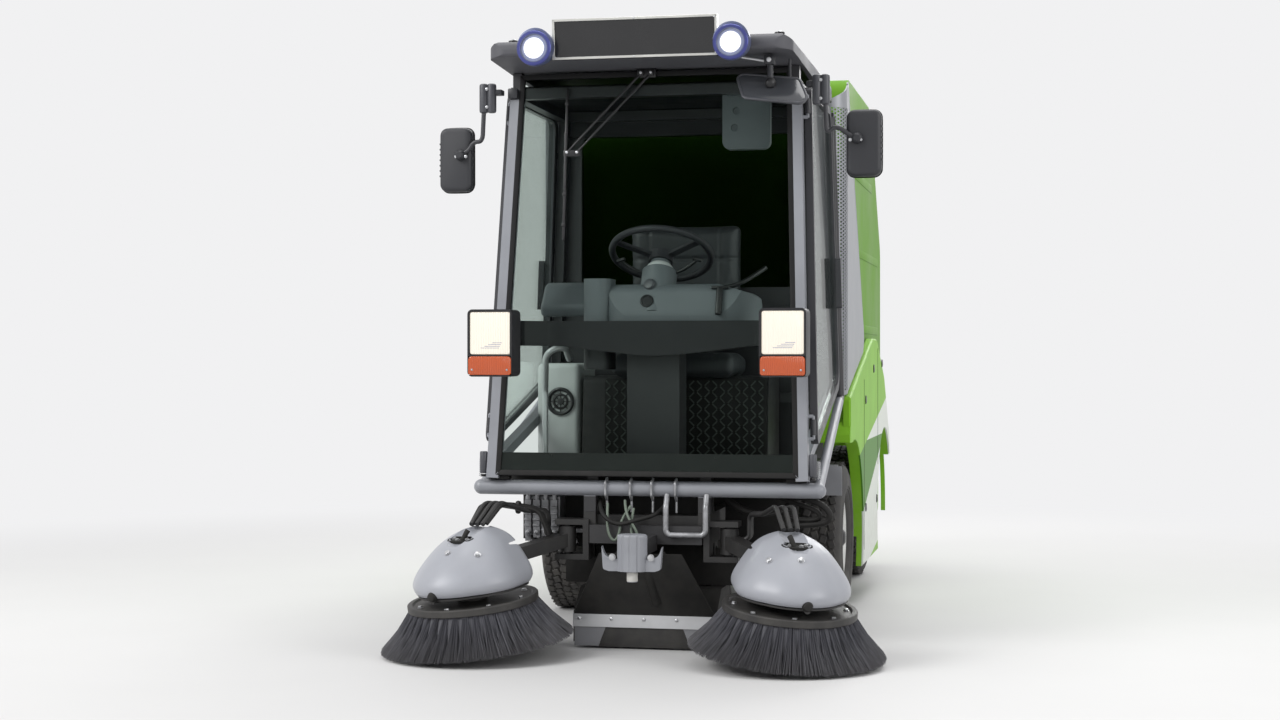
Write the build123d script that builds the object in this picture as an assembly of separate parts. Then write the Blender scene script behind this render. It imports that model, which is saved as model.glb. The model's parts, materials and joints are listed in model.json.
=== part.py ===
"""Compact road sweeper: cab over the front wheels, two side brushes, suction nozzle, tipping hopper.

Millimetres. +X is the machine's left side, -Y is its front, +Z is up. The origin is on the ground,
in the middle of the machine. Every place along the machine is counted back from the bumper line.
"""
import os
from math import atan2, cos, degrees, hypot, radians, sin, tan

from build123d import *

# Driving places along the machine
bumper_y = -1083.0
front_axle_y = bumper_y + 1000
wheelbase = 1350.0
rear_axle_y = front_axle_y + wheelbase
shoulder_y = bumper_y + 850
body_rear_y = bumper_y + 2640
tail_depth = 110.0

# Wheels
tyre_radius = 280.0
tyre_width = 155.0
rim_radius = 152.0
front_wheel_x = 478.0
rear_wheel_x = 424.0
axle_tube_radius = 38.0

# Cab
bumper_z = 518.0
bumper_radius = 25.0
bumper_half = 560.0
floor_z = 560.0
floor_sheet = 22.0
post_foot_z = bumper_z + bumper_radius + 4.4
post_top_z = 1850.0
post_foot_x = 532.0
post_top_x = 490.0
post_foot_y = bumper_y - 19
post_top_y = bumper_y + 138
post_width = 40.0
post_depth = 50.0
rear_post_y = bumper_y + 800
rear_post_foot_z = 800.0
guard_radius = 16.0
guard_gap = 6.0
glass_sheet = 8.0
seal_width = 16.0
seal_depth = 18.0

# Roof
roof_front_y = bumper_y - 170
roof_rear_y = bumper_y + 930
roof_half = 508.0
roof_edge_z = 1872.0
roof_top_z = 1982.0
roof_wall = 12.0
visor_rise = 42.0

# Body
body_half = 580.0
body_wall = 28.0
body_bottom_z = 140.0
shoulder_z = 636.0
shoulder_inner_x = 436.0
body_top_front_z = 800.0
body_top_rear_z = 1022.0
arch_radius = 362.0
flange_depth = 46.0
flange_sheet = 8.0

screen_x = 565.0
screen_bend = 60.0
screen_sheet = 4.0
screen_gap = 8.0

# Hopper
hopper_half = 540.0
hopper_wall = 16.0
hopper_front_y = bumper_y + 1120
hopper_rear_y = bumper_y + 2600
hopper_bottom_z = 820.0
hopper_top_z = 1995.0
hopper_slope_y = bumper_y + 2100
hopper_slope_z = 1420.0
tip_pivot_y = bumper_y + 2490
tip_pivot_z = 780.0
tip_pin_radius = 16.0
door_hinge_z = 1352.0
door_hinge_y = hopper_rear_y + 14
door_hinge_half = 30.0
door_hinges_x = (-300, 300)
door_pin_radius = 6.0
running_gap = 6.0
contact_gap = 0.3

# Chassis
rail_half = 210.0
rail_width = 40.0
rail_bottom_z = 340.0
rail_top_z = 440.0
rail_front_y = bumper_y - 10
outrigger_y = front_axle_y + 400
lashing_z = 312.0
lashing_radius = 15.0
tow_radius = 11.0
tow_y = body_rear_y + 70
tow_z = 372.0

# Side brushes
brush_x = 493.0
brush_y = bumper_y - 275
brush_clear = 5.0
brush_tip_radius = 308.0
brush_root_radius = 196.0
brush_disc_radius = 208.0
brush_disc_z = 121.0
brush_disc_rim = 23.0
brush_tilt = 5.0
brush_shaft_radius = 12.0
cover_z = 176.0
cover_turn = 22.0
cover_wall = 7.0
hose_radius = 8.0
motor_radius = 52.0
motor_length = 110.0
tuft_count = 40
arm_pivot_x = 270.0
arm_pivot_y = bumper_y + 10
arm_z = 350.0

# Nozzle
nozzle_half = 236.0
nozzle_front_y = bumper_y - 45
nozzle_rear_y = bumper_y + 300
nozzle_top_z = 160.0
suction_radius = 75.0
duct_z = 458.0

sides = {"left": 1, "right": -1}


def block(x0, x1, y0, y1, z0, z1):
    """A box from its lowest to its highest corner."""
    return Pos((x0 + x1) / 2, (y0 + y1) / 2, (z0 + z1) / 2) * Box(abs(x1 - x0), abs(y1 - y0),
                                                                  abs(z1 - z0))


def outline(corners):
    """A face from corners of (u, v, radius), in the plane's own axes."""
    starts, ends, arcs = [], [], []
    for i, (u, v, radius) in enumerate(corners):
        here = Vector(u, v)
        before = (Vector(*corners[i - 1][:2]) - here).normalized()
        after = (Vector(*corners[(i + 1) % len(corners)][:2]) - here).normalized()
        if radius == 0:
            starts.append(here)
            ends.append(here)
            continue
        half = radians(before.get_angle(after) / 2)
        inward = (before + after).normalized()
        starts.append(here + before * (radius / tan(half)))
        ends.append(here + after * (radius / tan(half)))
        middle = here + inward * (radius / sin(half) - radius)
        arcs.append(ThreePointArc(starts[-1], middle, ends[-1]))
    lines = []
    for i in range(len(corners)):
        start, end = ends[i], starts[(i + 1) % len(corners)]
        if (end - start).length > 1e-4:
            lines.append(Line(start, end))
    return make_face(Curve() + arcs + lines)


def side_plate(corners, x0, x1):
    """An outline of (y, z, radius) corners, drawn from x0 to x1."""
    return extrude(Plane.YZ.offset(x0) * outline(corners), amount=x1 - x0, dir=(1, 0, 0))


def front_plate(corners, y0, y1):
    """An outline of (x, z, radius) corners, drawn from y0 to y1."""
    face = Plane(origin=(0, y0, 0), x_dir=(1, 0, 0), z_dir=(0, -1, 0)) * outline(corners)
    return extrude(face, amount=y1 - y0, dir=(0, 1, 0))


def flat_plate(corners, z0, z1):
    """An outline of (x, y, radius) corners, drawn from z0 to z1."""
    return extrude(Pos(0, 0, z0) * outline(corners), amount=z1 - z0, dir=(0, 0, 1))


def rod(start, end, radius):
    """A round bar between two points."""
    start, end = Vector(*start), Vector(*end)
    plane = Plane(origin=start, z_dir=end - start)
    return extrude(plane * Circle(radius), amount=(end - start).length)


def bent_bar(points, bend, radius):
    """A round bar along straight runs joined by bends."""
    path = FilletPolyline(*points, radius=bend)
    return sweep(Plane(origin=path @ 0, z_dir=path % 0) * Circle(radius), path=path)


def beam(start, end, width, height, up=(0, 0, 1)):
    """A rectangular bar between two points."""
    start, end = Vector(*start), Vector(*end)
    run = end - start
    plane = Plane(origin=start, x_dir=run.cross(Vector(*up)), z_dir=run)
    return extrude(plane * Rectangle(width, height), amount=run.length)


def mirrored(shape):
    """The same shape on the machine's other side."""
    return mirror(shape, about=Plane.YZ)


def pair(shape):
    """A shape and its mirror image, as solids that don't touch."""
    return Compound(children=[*shape.solids(), *mirrored(shape).solids()])


def on_side(shape, side):
    """A shape made for the left side, put on the side asked for."""
    return shape if side == "left" else mirrored(shape)


def post_x(z):
    """Outer face of the cab's side at a height."""
    return post_foot_x + (post_top_x - post_foot_x) * (z - post_foot_z) / (post_top_z - post_foot_z)


def post_y(z):
    """Middle of the windscreen post at a height."""
    return post_foot_y + (post_top_y - post_foot_y) * (z - post_foot_z) / (post_top_z - post_foot_z)


# Wheels and axles
def tyre(x, y):
    """One tyre, with round shoulders and a flat tread."""
    half = tyre_width / 2
    profile = [
        (-half + 22, rim_radius, 0), (half - 22, rim_radius, 0), (half, rim_radius + 42, 30),
        (half - 6, tyre_radius - 12, 26), (half - 30, tyre_radius, 20), (-half + 30, tyre_radius, 20),
        (-half + 6, tyre_radius - 12, 26), (-half, rim_radius + 42, 30),
    ]
    face = Plane.XZ * outline(profile)
    return Pos(x, y, tyre_radius) * revolve(face, axis=Axis.X)


def rim(x, y, stub_radius):
    """One pressed wheel with its dish on the outer side."""
    half = tyre_width / 2 - 22
    fit = rim_radius - contact_gap
    profile = [
        (-half, fit, 0), (half, fit, 0), (half, fit - 14, 0), (half - 18, fit - 22, 0), (half - 24, 96,
                                                                                         0),
        (half - 8, 70, 0), (half - 8, stub_radius + 0.5, 0), (half - 20, stub_radius + 0.5, 0),
        (half - 20, 66, 0), (half - 36, 90, 0), (half - 34, fit - 20, 0), (-half, fit - 14, 0),
    ]
    wheel = revolve(Plane.XZ * outline(profile), axis=Axis.X)
    for turn in range(0, 360, 72):
        hand_hole = Rot(turn, 0, 0) * Pos(half - 20, 0, 112) * Rot(0, 90, 0) * Cylinder(13, 60)
        wheel -= hand_hole
    return Pos(x, y, tyre_radius) * wheel


stub_radius = 27.0


def front_axle():
    reach = front_wheel_x + tyre_width / 2 - 18
    axle = rod((-reach, front_axle_y, tyre_radius), (reach, front_axle_y, tyre_radius), stub_radius)
    inner = front_wheel_x - tyre_width / 2 - 12
    axle += rod((-inner, front_axle_y, tyre_radius), (inner, front_axle_y, tyre_radius), axle_tube_radius)
    for side in sides.values():
        axle += rod((side * (inner - 16), front_axle_y, tyre_radius),
                    (side * inner, front_axle_y, tyre_radius), 88)
        spring_seat = block(side * 165, side * 225, front_axle_y - 40, front_axle_y + 40,
                            tyre_radius + 20, rail_bottom_z - contact_gap)
        axle += spring_seat
    return axle + rod((-70, front_axle_y, tyre_radius), (90, front_axle_y, tyre_radius), 82)


kingpin_x = 312.0
kingpin_radius = 14.0


def rear_axle():
    reach = kingpin_x - 18
    axle = block(-reach, reach, rear_axle_y - 34, rear_axle_y + 34, tyre_radius - 26, tyre_radius + 26)
    axle += block(-120, 120, rear_axle_y - 30, rear_axle_y + 30, tyre_radius, rail_bottom_z - contact_gap)
    for side in sides.values():
        axle += block(side * 165, side * 205, rear_axle_y - 30, rear_axle_y + 30,
                      tyre_radius, rail_bottom_z - contact_gap)
        boss = Pos(side * kingpin_x, rear_axle_y, tyre_radius) * Cylinder(34, 62)
        axle += boss - Pos(side * kingpin_x, rear_axle_y, tyre_radius) * Cylinder(kingpin_radius + 0.5,
                                                                                  70)
        axle -= Pos(side * kingpin_x, rear_axle_y, tyre_radius) * Cylinder(kingpin_radius + 0.5, 70)
    return axle


def knuckle():
    """Left steering knuckle: a fork round the axle's boss, its kingpin and its stub axle."""
    reach = rear_wheel_x + tyre_width / 2 - 18
    fork = block(kingpin_x - 24, kingpin_x + 24, rear_axle_y - 26, rear_axle_y + 26, tyre_radius + 32,
                 tyre_radius + 50)
    fork += block(kingpin_x - 24, kingpin_x + 24, rear_axle_y - 26, rear_axle_y + 26, tyre_radius - 50,
                  tyre_radius - 32)
    fork += block(kingpin_x + 36, kingpin_x + 52, rear_axle_y - 26, rear_axle_y + 26, tyre_radius - 50,
                  tyre_radius + 50)
    for z in (tyre_radius + 32, tyre_radius - 50):
        fork += block(kingpin_x + 20, kingpin_x + 40, rear_axle_y - 26, rear_axle_y + 26, z, z + 18)
    fork += Pos(kingpin_x, rear_axle_y, tyre_radius) * Cylinder(kingpin_radius, 96)
    fork += rod((kingpin_x + 40, rear_axle_y, tyre_radius), (reach, rear_axle_y, tyre_radius),
                stub_radius)
    steer_arm = block(kingpin_x - 14, kingpin_x + 14, rear_axle_y - 110, rear_axle_y, tyre_radius - 50,
                      tyre_radius - 36)
    return fork + steer_arm


# Chassis
def chassis_frame():
    frame = Part()
    for side in sides.values():
        frame += block(side * (rail_half - rail_width), side * rail_half, rail_front_y, body_rear_y,
                       rail_bottom_z, rail_top_z)
    for y in (bumper_y + 40, shoulder_y + 330, rear_axle_y - 390, body_rear_y - 60):
        frame += block(-rail_half, rail_half, y - 25, y + 25, rail_top_z - 70, rail_top_z - 10)
    frame += block(-rail_half, rail_half, bumper_y + 595, bumper_y + 645, rail_bottom_z,
                   rail_bottom_z + 30)
    for side in sides.values():
        for y in (bumper_y + 60, bumper_y + 640):
            frame += block(side * (rail_half - rail_width), side * (rail_half - 4), y - 30, y + 30,
                           rail_top_z, floor_z - contact_gap)
        for z in (arm_z - 66, arm_z + 48):
            frame += block(side * (rail_half - 6), side * (arm_pivot_x + 34), arm_pivot_y - 34,
                           arm_pivot_y + 34,
                           z, z + 18)
        frame += block(side * (rail_half - 20), side * rail_half, arm_pivot_y - 34, arm_pivot_y + 34,
                       arm_z - 66, arm_z + 66)
        frame += Pos(side * arm_pivot_x, arm_pivot_y, arm_z) * Cylinder(15, 130)
        eye_plate = side_plate([(bumper_y + 90, rail_bottom_z + 10, 0),
                                (bumper_y + 150, rail_bottom_z + 10, 0),
                                (bumper_y + 150, lashing_z - 30, 24), (bumper_y + 90, lashing_z - 30,
                                                                       24)],
                               side * (rail_half - 14), side * (rail_half - 2))
        frame += eye_plate - rod((side * (rail_half - 30), bumper_y + 120, lashing_z),
                                 (side * (rail_half + 20), bumper_y + 120, lashing_z), lashing_radius)
        frame += block(side * 170, side * 190, bumper_y + 140, bumper_y + 176,
                       nozzle_top_z + 30 + contact_gap, rail_bottom_z + 10)
    saddle = block(-60, 60, bumper_y + 600, bumper_y + 640, rail_bottom_z + 10, duct_z)
    frame += saddle - rod((0, bumper_y + 590, duct_z), (0, bumper_y + 650, duct_z),
                          suction_radius + contact_gap)
    for side in sides.values():
        frame += block(side * (rail_half - 4), side * (body_half - body_wall - contact_gap),
                       outrigger_y - 20,
                       outrigger_y + 20, rail_top_z - 60, rail_top_z - 20)
    tow_jaw = flat_plate([(-45, body_rear_y - 90, 0), (45, body_rear_y - 90, 0), (34, tow_y + 32, 26),
                          (-34, tow_y + 32, 26)],
                         tow_z - 9, tow_z + 9)
    frame += tow_jaw - Pos(0, tow_y, tow_z) * Cylinder(tow_radius, 60)
    lug_y, lug_z = cylinder_base
    for side in (1, -1):
        frame += side_plate([(lug_y - 34, rail_top_z - 70, 0), (lug_y + 34, rail_top_z - 70, 0),
                             (lug_y + 20, lug_z + 22, 18), (lug_y - 20, lug_z + 22,
                                                            18)], side * 26, side * 38)
    frame += block(-rail_half, rail_half, lug_y - 34, lug_y + 34, rail_top_z - 80, rail_top_z - 50)
    frame += rod((-38, lug_y, lug_z), (38, lug_y, lug_z), 12)
    return frame


def hopper_stand():
    """Two uprights on the rails, each with the pin that the hopper tips on."""
    group = []
    for side in sides.values():
        foot_z = rail_top_z + contact_gap
        stand = side_plate([(tip_pivot_y - 70, foot_z, 0), (body_rear_y - 20, foot_z, 0),
                            (tip_pivot_y + 28, tip_pivot_z + 28, 26), (tip_pivot_y - 28, tip_pivot_z + 28,
                                                                       26)],
                           side * 190, side * 206)
        stand += block(side * 172, side * 208, tip_pivot_y - 80, body_rear_y - 10, foot_z, foot_z + 12)
        stand += rod((side * 186, tip_pivot_y, tip_pivot_z), (side * 262, tip_pivot_y, tip_pivot_z),
                     tip_pin_radius)
        group += stand.solids()
    return Compound(children=group)


cylinder_base = (bumper_y + 2180, 450.0)
cylinder_eye = (bumper_y + 2275, 772.0)
ear_gap = 24.0


def tip_cylinder():
    """Barrel and rod of the hopper's lift cylinder, each with its own eye."""
    base = Vector(0, *cylinder_base)
    eye = Vector(0, *cylinder_eye)
    along = (eye - base).normalized()
    lean = degrees(atan2(-along.Y, along.Z))
    place = Pos(*base) * Rot(lean, 0, 0)
    length = (eye - base).length
    barrel = place * (Pos(0, 0, 30) * Cylinder(30, length - 110,
                                               align=(Align.CENTER, Align.CENTER, Align.MIN)))
    barrel += place * Rot(0, 90, 0) * Cylinder(26, 46)
    barrel += place * (Pos(0, 0, 12) * Cylinder(20, 24, align=(Align.CENTER, Align.CENTER, Align.MIN)))
    barrel -= place * Rot(0, 90, 0) * Cylinder(12.5, 60)
    bore = place * (Pos(0, 0, 44) * Cylinder(16.3, length, align=(Align.CENTER, Align.CENTER, Align.MIN)))
    barrel -= bore
    piston_rod = place * (Pos(0, 0, 50) * Cylinder(16, length - 68,
                                                   align=(Align.CENTER, Align.CENTER, Align.MIN)))
    top = place * Pos(0, 0, length) * Rot(0, 90, 0)
    piston_rod += top * Cylinder(24, 40)
    piston_rod += top * Cylinder(12, 2 * ear_gap - 2)
    return barrel, piston_rod


def battery_block():
    return block(-rail_half - 150, rail_half + 150, shoulder_y + 420, rear_axle_y - 420,
                 rail_top_z + contact_gap, hopper_bottom_z - 24)


# Cab
def cab_frame():
    post = beam((post_foot_x - post_width / 2, post_foot_y, post_foot_z),
                (post_top_x - post_width / 2, post_top_y, post_top_z), post_depth, post_width, up=(1, 0,
                                                                                                   0))
    header_x = post_top_x - post_width / 2
    rear_x = post_x(post_top_z) - 18
    rear_foot_x = post_x(rear_post_foot_z) - 18
    side_rail = beam((header_x, post_top_y, post_top_z - 18), (rear_x, rear_post_y, post_top_z - 18), 36,
                     36)
    rear_post = beam((rear_foot_x, rear_post_y, rear_post_foot_z - 10), (rear_x, rear_post_y, post_top_z),
                     36, 36,
                     up=(1, 0, 0))
    sill = beam((post_foot_x - 20, post_foot_y + 10, floor_z + floor_sheet + 20),
                (rear_foot_x, rear_post_y, rear_post_foot_z), 34, 34)
    half = post + side_rail + rear_post + sill
    half += block(post_top_x - 36, post_top_x - 6, post_top_y - 20, post_top_y + 20, post_top_z - 14,
                  roof_under_z(post_top_y + 20) - contact_gap)
    half += block(rear_x + 2, post_top_x + 8, rear_post_y - 20, rear_post_y + 18, post_top_z - 20,
                  roof_under_z(rear_post_y + 20) - contact_gap)
    for z in hinge_heights:
        half += hinge_rod(z, 38, hinge_pin_radius)
        for end in (-36, 36):
            tip = hinge_point(z + end)
            half += rod((tip.X - hinge_out - 8, tip.Y - 4, tip.Z), (tip.X, tip.Y, tip.Z), 6)
    frame = half + mirrored(half)
    frame += beam((-header_x, post_top_y, post_top_z - 18), (header_x, post_top_y, post_top_z - 18), 36,
                  36)
    frame += beam((-rear_x, rear_post_y, post_top_z - 18), (rear_x, rear_post_y, post_top_z - 18), 36, 36)
    frame += beam((-rear_foot_x, rear_post_y, rear_post_foot_z),
                  (rear_foot_x, rear_post_y, rear_post_foot_z), 36, 36)
    return frame


def bumper():
    """Front tube with a guard tube rising from each end to the rear post."""
    tube = rod((-bumper_half, bumper_y, bumper_z), (bumper_half, bumper_y, bumper_z), bumper_radius)
    for side in sides.values():
        tube += Pos(side * bumper_half, bumper_y, bumper_z) * Sphere(bumper_radius)
        stand_off = guard_radius + guard_gap
        top = (side * (post_x(rear_post_foot_z) + stand_off), rear_post_y, rear_post_foot_z)
        tube += rod((side * bumper_half, bumper_y, bumper_z), top, guard_radius)
        top_z = post_top_z - 40
        tube += rod(top, (side * (post_x(top_z) + stand_off), rear_post_y, top_z), guard_radius)
        for z in (rear_post_foot_z + 160, top_z - 120):
            tube += block(side * (post_x(z - 12) + contact_gap), side * (post_x(z) + stand_off),
                          rear_post_y - 10,
                          rear_post_y + 10, z - 12, z + 12)
        tube += Pos(*top) * Sphere(guard_radius)
        tube += block(side * (rail_half - rail_width), side * rail_half, bumper_y - 8, bumper_y + 28,
                      rail_top_z + contact_gap, bumper_z)
    return tube


def cab_floor():
    half = post_foot_x - post_width - 1.5
    plan = [(-half, post_foot_y + 34, 20), (half, post_foot_y + 34, 20), (half, rear_post_y + 20, 20),
            (-half, rear_post_y + 20, 20)]
    return flat_plate(plan, floor_z, floor_z + floor_sheet)


def windscreen_seal():
    """Black seal inside the windscreen's opening, square to the raked posts."""
    return raked_sheet(seal_depth, 0) - raked_sheet(seal_depth + 10, seal_width)


def raked_sheet(thickness, inset):
    low = post_foot_z + 35
    high = post_top_z - 42
    corners = []
    for x_sign, z in ((-1, low + inset), (1, low + inset), (1, high - inset), (-1, high - inset)):
        x = post_x(z) - post_width - contact_gap - inset
        corners.append((x_sign * x, z))
    lean = atan2(post_top_y - post_foot_y, post_top_z - post_foot_z)
    plane = Plane(origin=(0, post_y(0), 0), x_dir=(1, 0, 0), z_dir=(0, -cos(lean), sin(lean)))
    points = [(x, z / cos(lean), 14) for x, z in corners]
    sheet = extrude(plane * outline(points), amount=thickness / 2, both=True)
    return sheet


def cab_glass():
    front = raked_sheet(glass_sheet, seal_width + contact_gap)
    rear_half = post_x(post_top_z) - 18 - 60
    rear = front_plate([(-rear_half, rear_window_z + 22, 30), (rear_half, rear_window_z + 22, 30),
                        (rear_half, post_top_z - 92, 30), (-rear_half, post_top_z - 92, 30)],
                       rear_post_y + 28, rear_post_y + 34)
    return Compound(children=[*front.solids(), *rear.solids()])


rear_window_z = 1180.0


def bulkhead():
    """Rear wall of the cab with its window cut out, narrow where the body's shoulders stand beside it."""
    narrow_half = shoulder_inner_x - running_gap
    low_half = post_x(rear_post_foot_z)
    top_half = post_x(post_top_z)
    wall = front_plate([(-narrow_half, floor_z + floor_sheet + contact_gap, 0),
                        (narrow_half, floor_z + floor_sheet + contact_gap, 0), (narrow_half,
                                                                                rear_post_foot_z - 30, 20),
                        (low_half, rear_post_foot_z, 0), (top_half, post_top_z, 0), (-top_half,
                                                                                     post_top_z, 0),
                        (-low_half, rear_post_foot_z, 0), (-narrow_half, rear_post_foot_z - 30, 20)],
                       rear_post_y + 18 + contact_gap, rear_post_y + 44)
    cut_half = post_x(post_top_z) - 18 - 60 + contact_gap
    wall -= front_plate([(-cut_half, rear_window_z + 22 - contact_gap, 30),
                         (cut_half, rear_window_z + 22 - contact_gap, 30),
                         (cut_half, post_top_z - 92 + contact_gap, 30), (-cut_half,
                                                                         post_top_z - 92 + contact_gap, 30)],
                        rear_post_y, rear_post_y + 80)
    return wall


def roof_under_z(y):
    """Height of the roof's lower face at a place along the machine."""
    return roof_edge_z + visor_rise * (roof_rear_y - y) / (roof_rear_y - roof_front_y)


def roof_cap():
    """Moulded roof: open underneath, with a visor that overhangs the windscreen."""
    side = [(roof_front_y, roof_edge_z + visor_rise, 12), (roof_rear_y, roof_edge_z, 12),
            (roof_rear_y, roof_top_z - 30, 30),
            (roof_front_y + 420, roof_top_z, 400), (roof_front_y, roof_top_z - 18, 30)]
    cap = side_plate(side, -roof_half, roof_half)
    cap &= front_plate([(-roof_half, roof_edge_z - 10, 0), (roof_half, roof_edge_z - 10, 0),
                        (roof_half - 4, roof_top_z - 40, 40), (roof_half - 90, roof_top_z + 4, 120),
                        (-roof_half + 90, roof_top_z + 4, 120), (-roof_half + 4, roof_top_z - 40, 40)],
                       roof_front_y - 5, roof_rear_y + 5)
    cap &= flat_plate([(-roof_half + 14, roof_front_y, 60), (roof_half - 14, roof_front_y, 60),
                       (roof_half, roof_rear_y, 40), (-roof_half, roof_rear_y,
                                                      40)], roof_edge_z - 20, roof_top_z + 20)
    inner = [(post_top_y + 40, roof_edge_z - 40, 0), (roof_rear_y - roof_wall, roof_edge_z - 40, 0),
             (roof_rear_y - roof_wall, roof_top_z - 50, 20), (post_top_y + 40, roof_top_z - 34, 20)]
    cap -= side_plate(inner, -roof_half + roof_wall + 14, roof_half - roof_wall - 14)
    return cap


def sign_board():
    lean = 4
    board = Box(532, 24, 128)
    board -= Pos(0, -12, 0) * Box(516, 6, 112)
    feet = Pos(-180, 17, -22) * Box(30, 14, 16) + Pos(180, 17, -22) * Box(30, 14, 16)
    return Pos(0, roof_front_y - 26.3, 1958) * Rot(lean, 0, 0) * (board + feet)


def roof_lamps():
    lamp = revolve(Plane.XZ * outline([(0, -34, 0), (0, 34, 0), (50, 34, 8), (56, 30, 0), (56, 10, 6),
                                       (38, -34, 20)]),
                   axis=Axis.Z)
    lamp = Rot(90, 0, 0) * lamp
    lamp -= Pos(0, -34, 0) * Rot(90, 0, 0) * Cylinder(43, 12)
    stem = block(-10, 10, 20, 52 - contact_gap, 2, 18)
    lamp += stem
    return pair(Pos(315, roof_front_y - 72 + 20, 1926) * lamp)


def seat_base():
    base = side_plate([(bumper_y + 470, floor_z + floor_sheet + contact_gap, 0),
                       (bumper_y + 770, floor_z + floor_sheet + contact_gap, 0),
                       (bumper_y + 770, 880, 10), (bumper_y + 500, 880, 30)], -330, 330)
    return base


def seat_pads():
    cushion = block(-240, 240, bumper_y + 400, bumper_y + 740, 880 + contact_gap, 960)
    cushion = fillet(cushion.edges().filter_by(Axis.Z), 40)
    back = side_plate([(bumper_y + 660, 960 + contact_gap, 8), (bumper_y + 745, 960 + contact_gap, 8),
                       (bumper_y + 778, 1440, 30),
                       (bumper_y + 700, 1440, 30)], -220, 220)
    return Compound(children=[*cushion.solids(), *back.solids()])


wheel_centre = (-20.0, bumper_y + 350, 1300.0)
wheel_lean = 28.0
dash_front_y = bumper_y + 178


def steering_wheel():
    ring = Torus(170, 12)
    for turn in (90, 210, 330):
        ring += Rot(0, 0, turn) * Pos(86, 0, -8) * Rot(0, -6, 0) * Box(172, 24, 10)
    ring += Pos(0, 0, -16) * Cylinder(42, 34)
    return Pos(*wheel_centre) * Rot(-wheel_lean, 0, 0) * ring


def dash_console():
    """Instrument pod, the wing under it and the steering column."""
    pod = side_plate([(dash_front_y, 960, 8), (bumper_y + 380, 1000, 30), (bumper_y + 360, 1140, 40),
                      (bumper_y + 225, 1214, 50), (dash_front_y, 1095, 60)], -320, 330)
    pod &= flat_plate([(-200, dash_front_y, 90), (310, dash_front_y, 120), (330, bumper_y + 400, 30),
                       (-200, bumper_y + 400, 30)],
                      900, 1300)
    pod &= front_plate([(-210, 900, 0), (340, 990, 60), (340, 1150, 60), (170, 1200, 60), (60, 1220, 60),
                        (-210, 1220, 40)],
                       dash_front_y - 5, bumper_y + 405)
    pillar = flat_plate([(-262, dash_front_y + 6, 34), (-170, dash_front_y + 6, 34),
                         (-170, bumper_y + 330, 34),
                         (-262, bumper_y + 330, 34)], 905, 1212)
    armrest = side_plate([(bumper_y + 230, 1120, 24), (bumper_y + 240, 1084, 10),
                          (bumper_y + 480, 1120, 20),
                          (bumper_y + 500, 1190, 30), (bumper_y + 300, 1206, 60)], -420, -250)
    armrest = fillet(armrest.faces().sort_by(Axis.X)[0].outer_wire().edges(), 14)
    pod += pillar + armrest
    foot = side_plate([(bumper_y + 200, floor_z + floor_sheet + contact_gap, 0),
                       (bumper_y + 330, floor_z + floor_sheet + contact_gap, 0),
                       (bumper_y + 330, 1020, 0), (bumper_y + 200, 1020, 0)], -110, 70)
    place = Pos(*wheel_centre) * Rot(-wheel_lean, 0, 0)
    column = place * (Pos(0, 0, -33.5 - 110) * Cylinder(34, 220))
    column += place * (Pos(0, 0, -33.5 - 130) * Cylinder(60, 180))
    return pod + foot + column


def lamp_beam():
    """Cross beam behind the windscreen, and the lamp housings that its brackets carry outside the posts."""
    inner_half = post_x(1020) - post_width - 6
    post_back = post_y(beam_top_z) + post_depth / 2 + contact_gap
    wing = front_plate([(-540, beam_top_z, 0), (-540, 986, 0), (-330, 984, 300), (0, 946, 900),
                        (330, 984, 300), (540, 986, 0),
                        (540, beam_top_z, 0)], dash_front_y - 300, dash_front_y + 10)
    inside = wing & flat_plate([(-inner_half - 30, post_back, 0), (-inner_half + 40, post_back, 0),
                                (-inner_half + 120, dash_front_y - 40, 60),
                         (inner_half - 120, dash_front_y - 40, 60), (inner_half - 40, post_back,
                                                                     0), (inner_half + 30, post_back, 0),
                         (inner_half - 90, dash_front_y - contact_gap, 60), (-inner_half + 90,
                                                                             dash_front_y - contact_gap, 60)], 900, beam_top_z)
    housing = block(lamp_x - 74, lamp_x + 74, lamp_face_y, lamp_face_y + 105, 884, 1100)
    housing = fillet(housing.edges().filter_by(Axis.Y), 16)
    housing -= block(lamp_x - 67, lamp_x + 67, lamp_face_y - 5, lamp_face_y + 40, 955, 1092)
    housing -= block(lamp_x - 71.5, lamp_x + 71.5, lamp_face_y - 5, lamp_face_y + 12, 889, 950)
    arm = block(lamp_x + 12, lamp_x + 36, lamp_face_y + 100, post_y(960) - post_depth / 2 - contact_gap,
                960, 1040)
    return Compound(children=[*inside.solids(), *pair(housing + arm).solids()])


beam_top_z = 1068.0
lamp_x = 472.0
lamp_face_y = bumper_y - 212


def headlamp_lenses():
    gap = contact_gap
    lens = block(lamp_x - 67 + gap, lamp_x + 67 - gap, lamp_face_y + 2, lamp_face_y + 40 - gap, 955 + gap,
                 1092 - gap)
    return pair(lens)


def indicators():
    gap = contact_gap
    lens = block(lamp_x - 71.5 + gap, lamp_x + 71.5 - gap, lamp_face_y - 4, lamp_face_y + 12 - gap,
                 889 + gap, 950 - gap)
    return pair(lens)


def overhead_panel():
    """Rounded panel with its controls, hung from the cab's front header."""
    panel = front_plate([(215, 1640, 26), (375, 1640, 26), (375, 1830, 10), (215, 1830, 10)],
                        bumper_y + 205, bumper_y + 245)
    for x, z in ((262, 1768), (256, 1712)):
        panel -= rod((x, bumper_y + 190, z), (x, bumper_y + 214, z), 12)
    panel += block(240, 350, post_top_y + 18 + contact_gap, bumper_y + 210, post_top_z - 34,
                   post_top_z - 22)
    return panel


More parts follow.
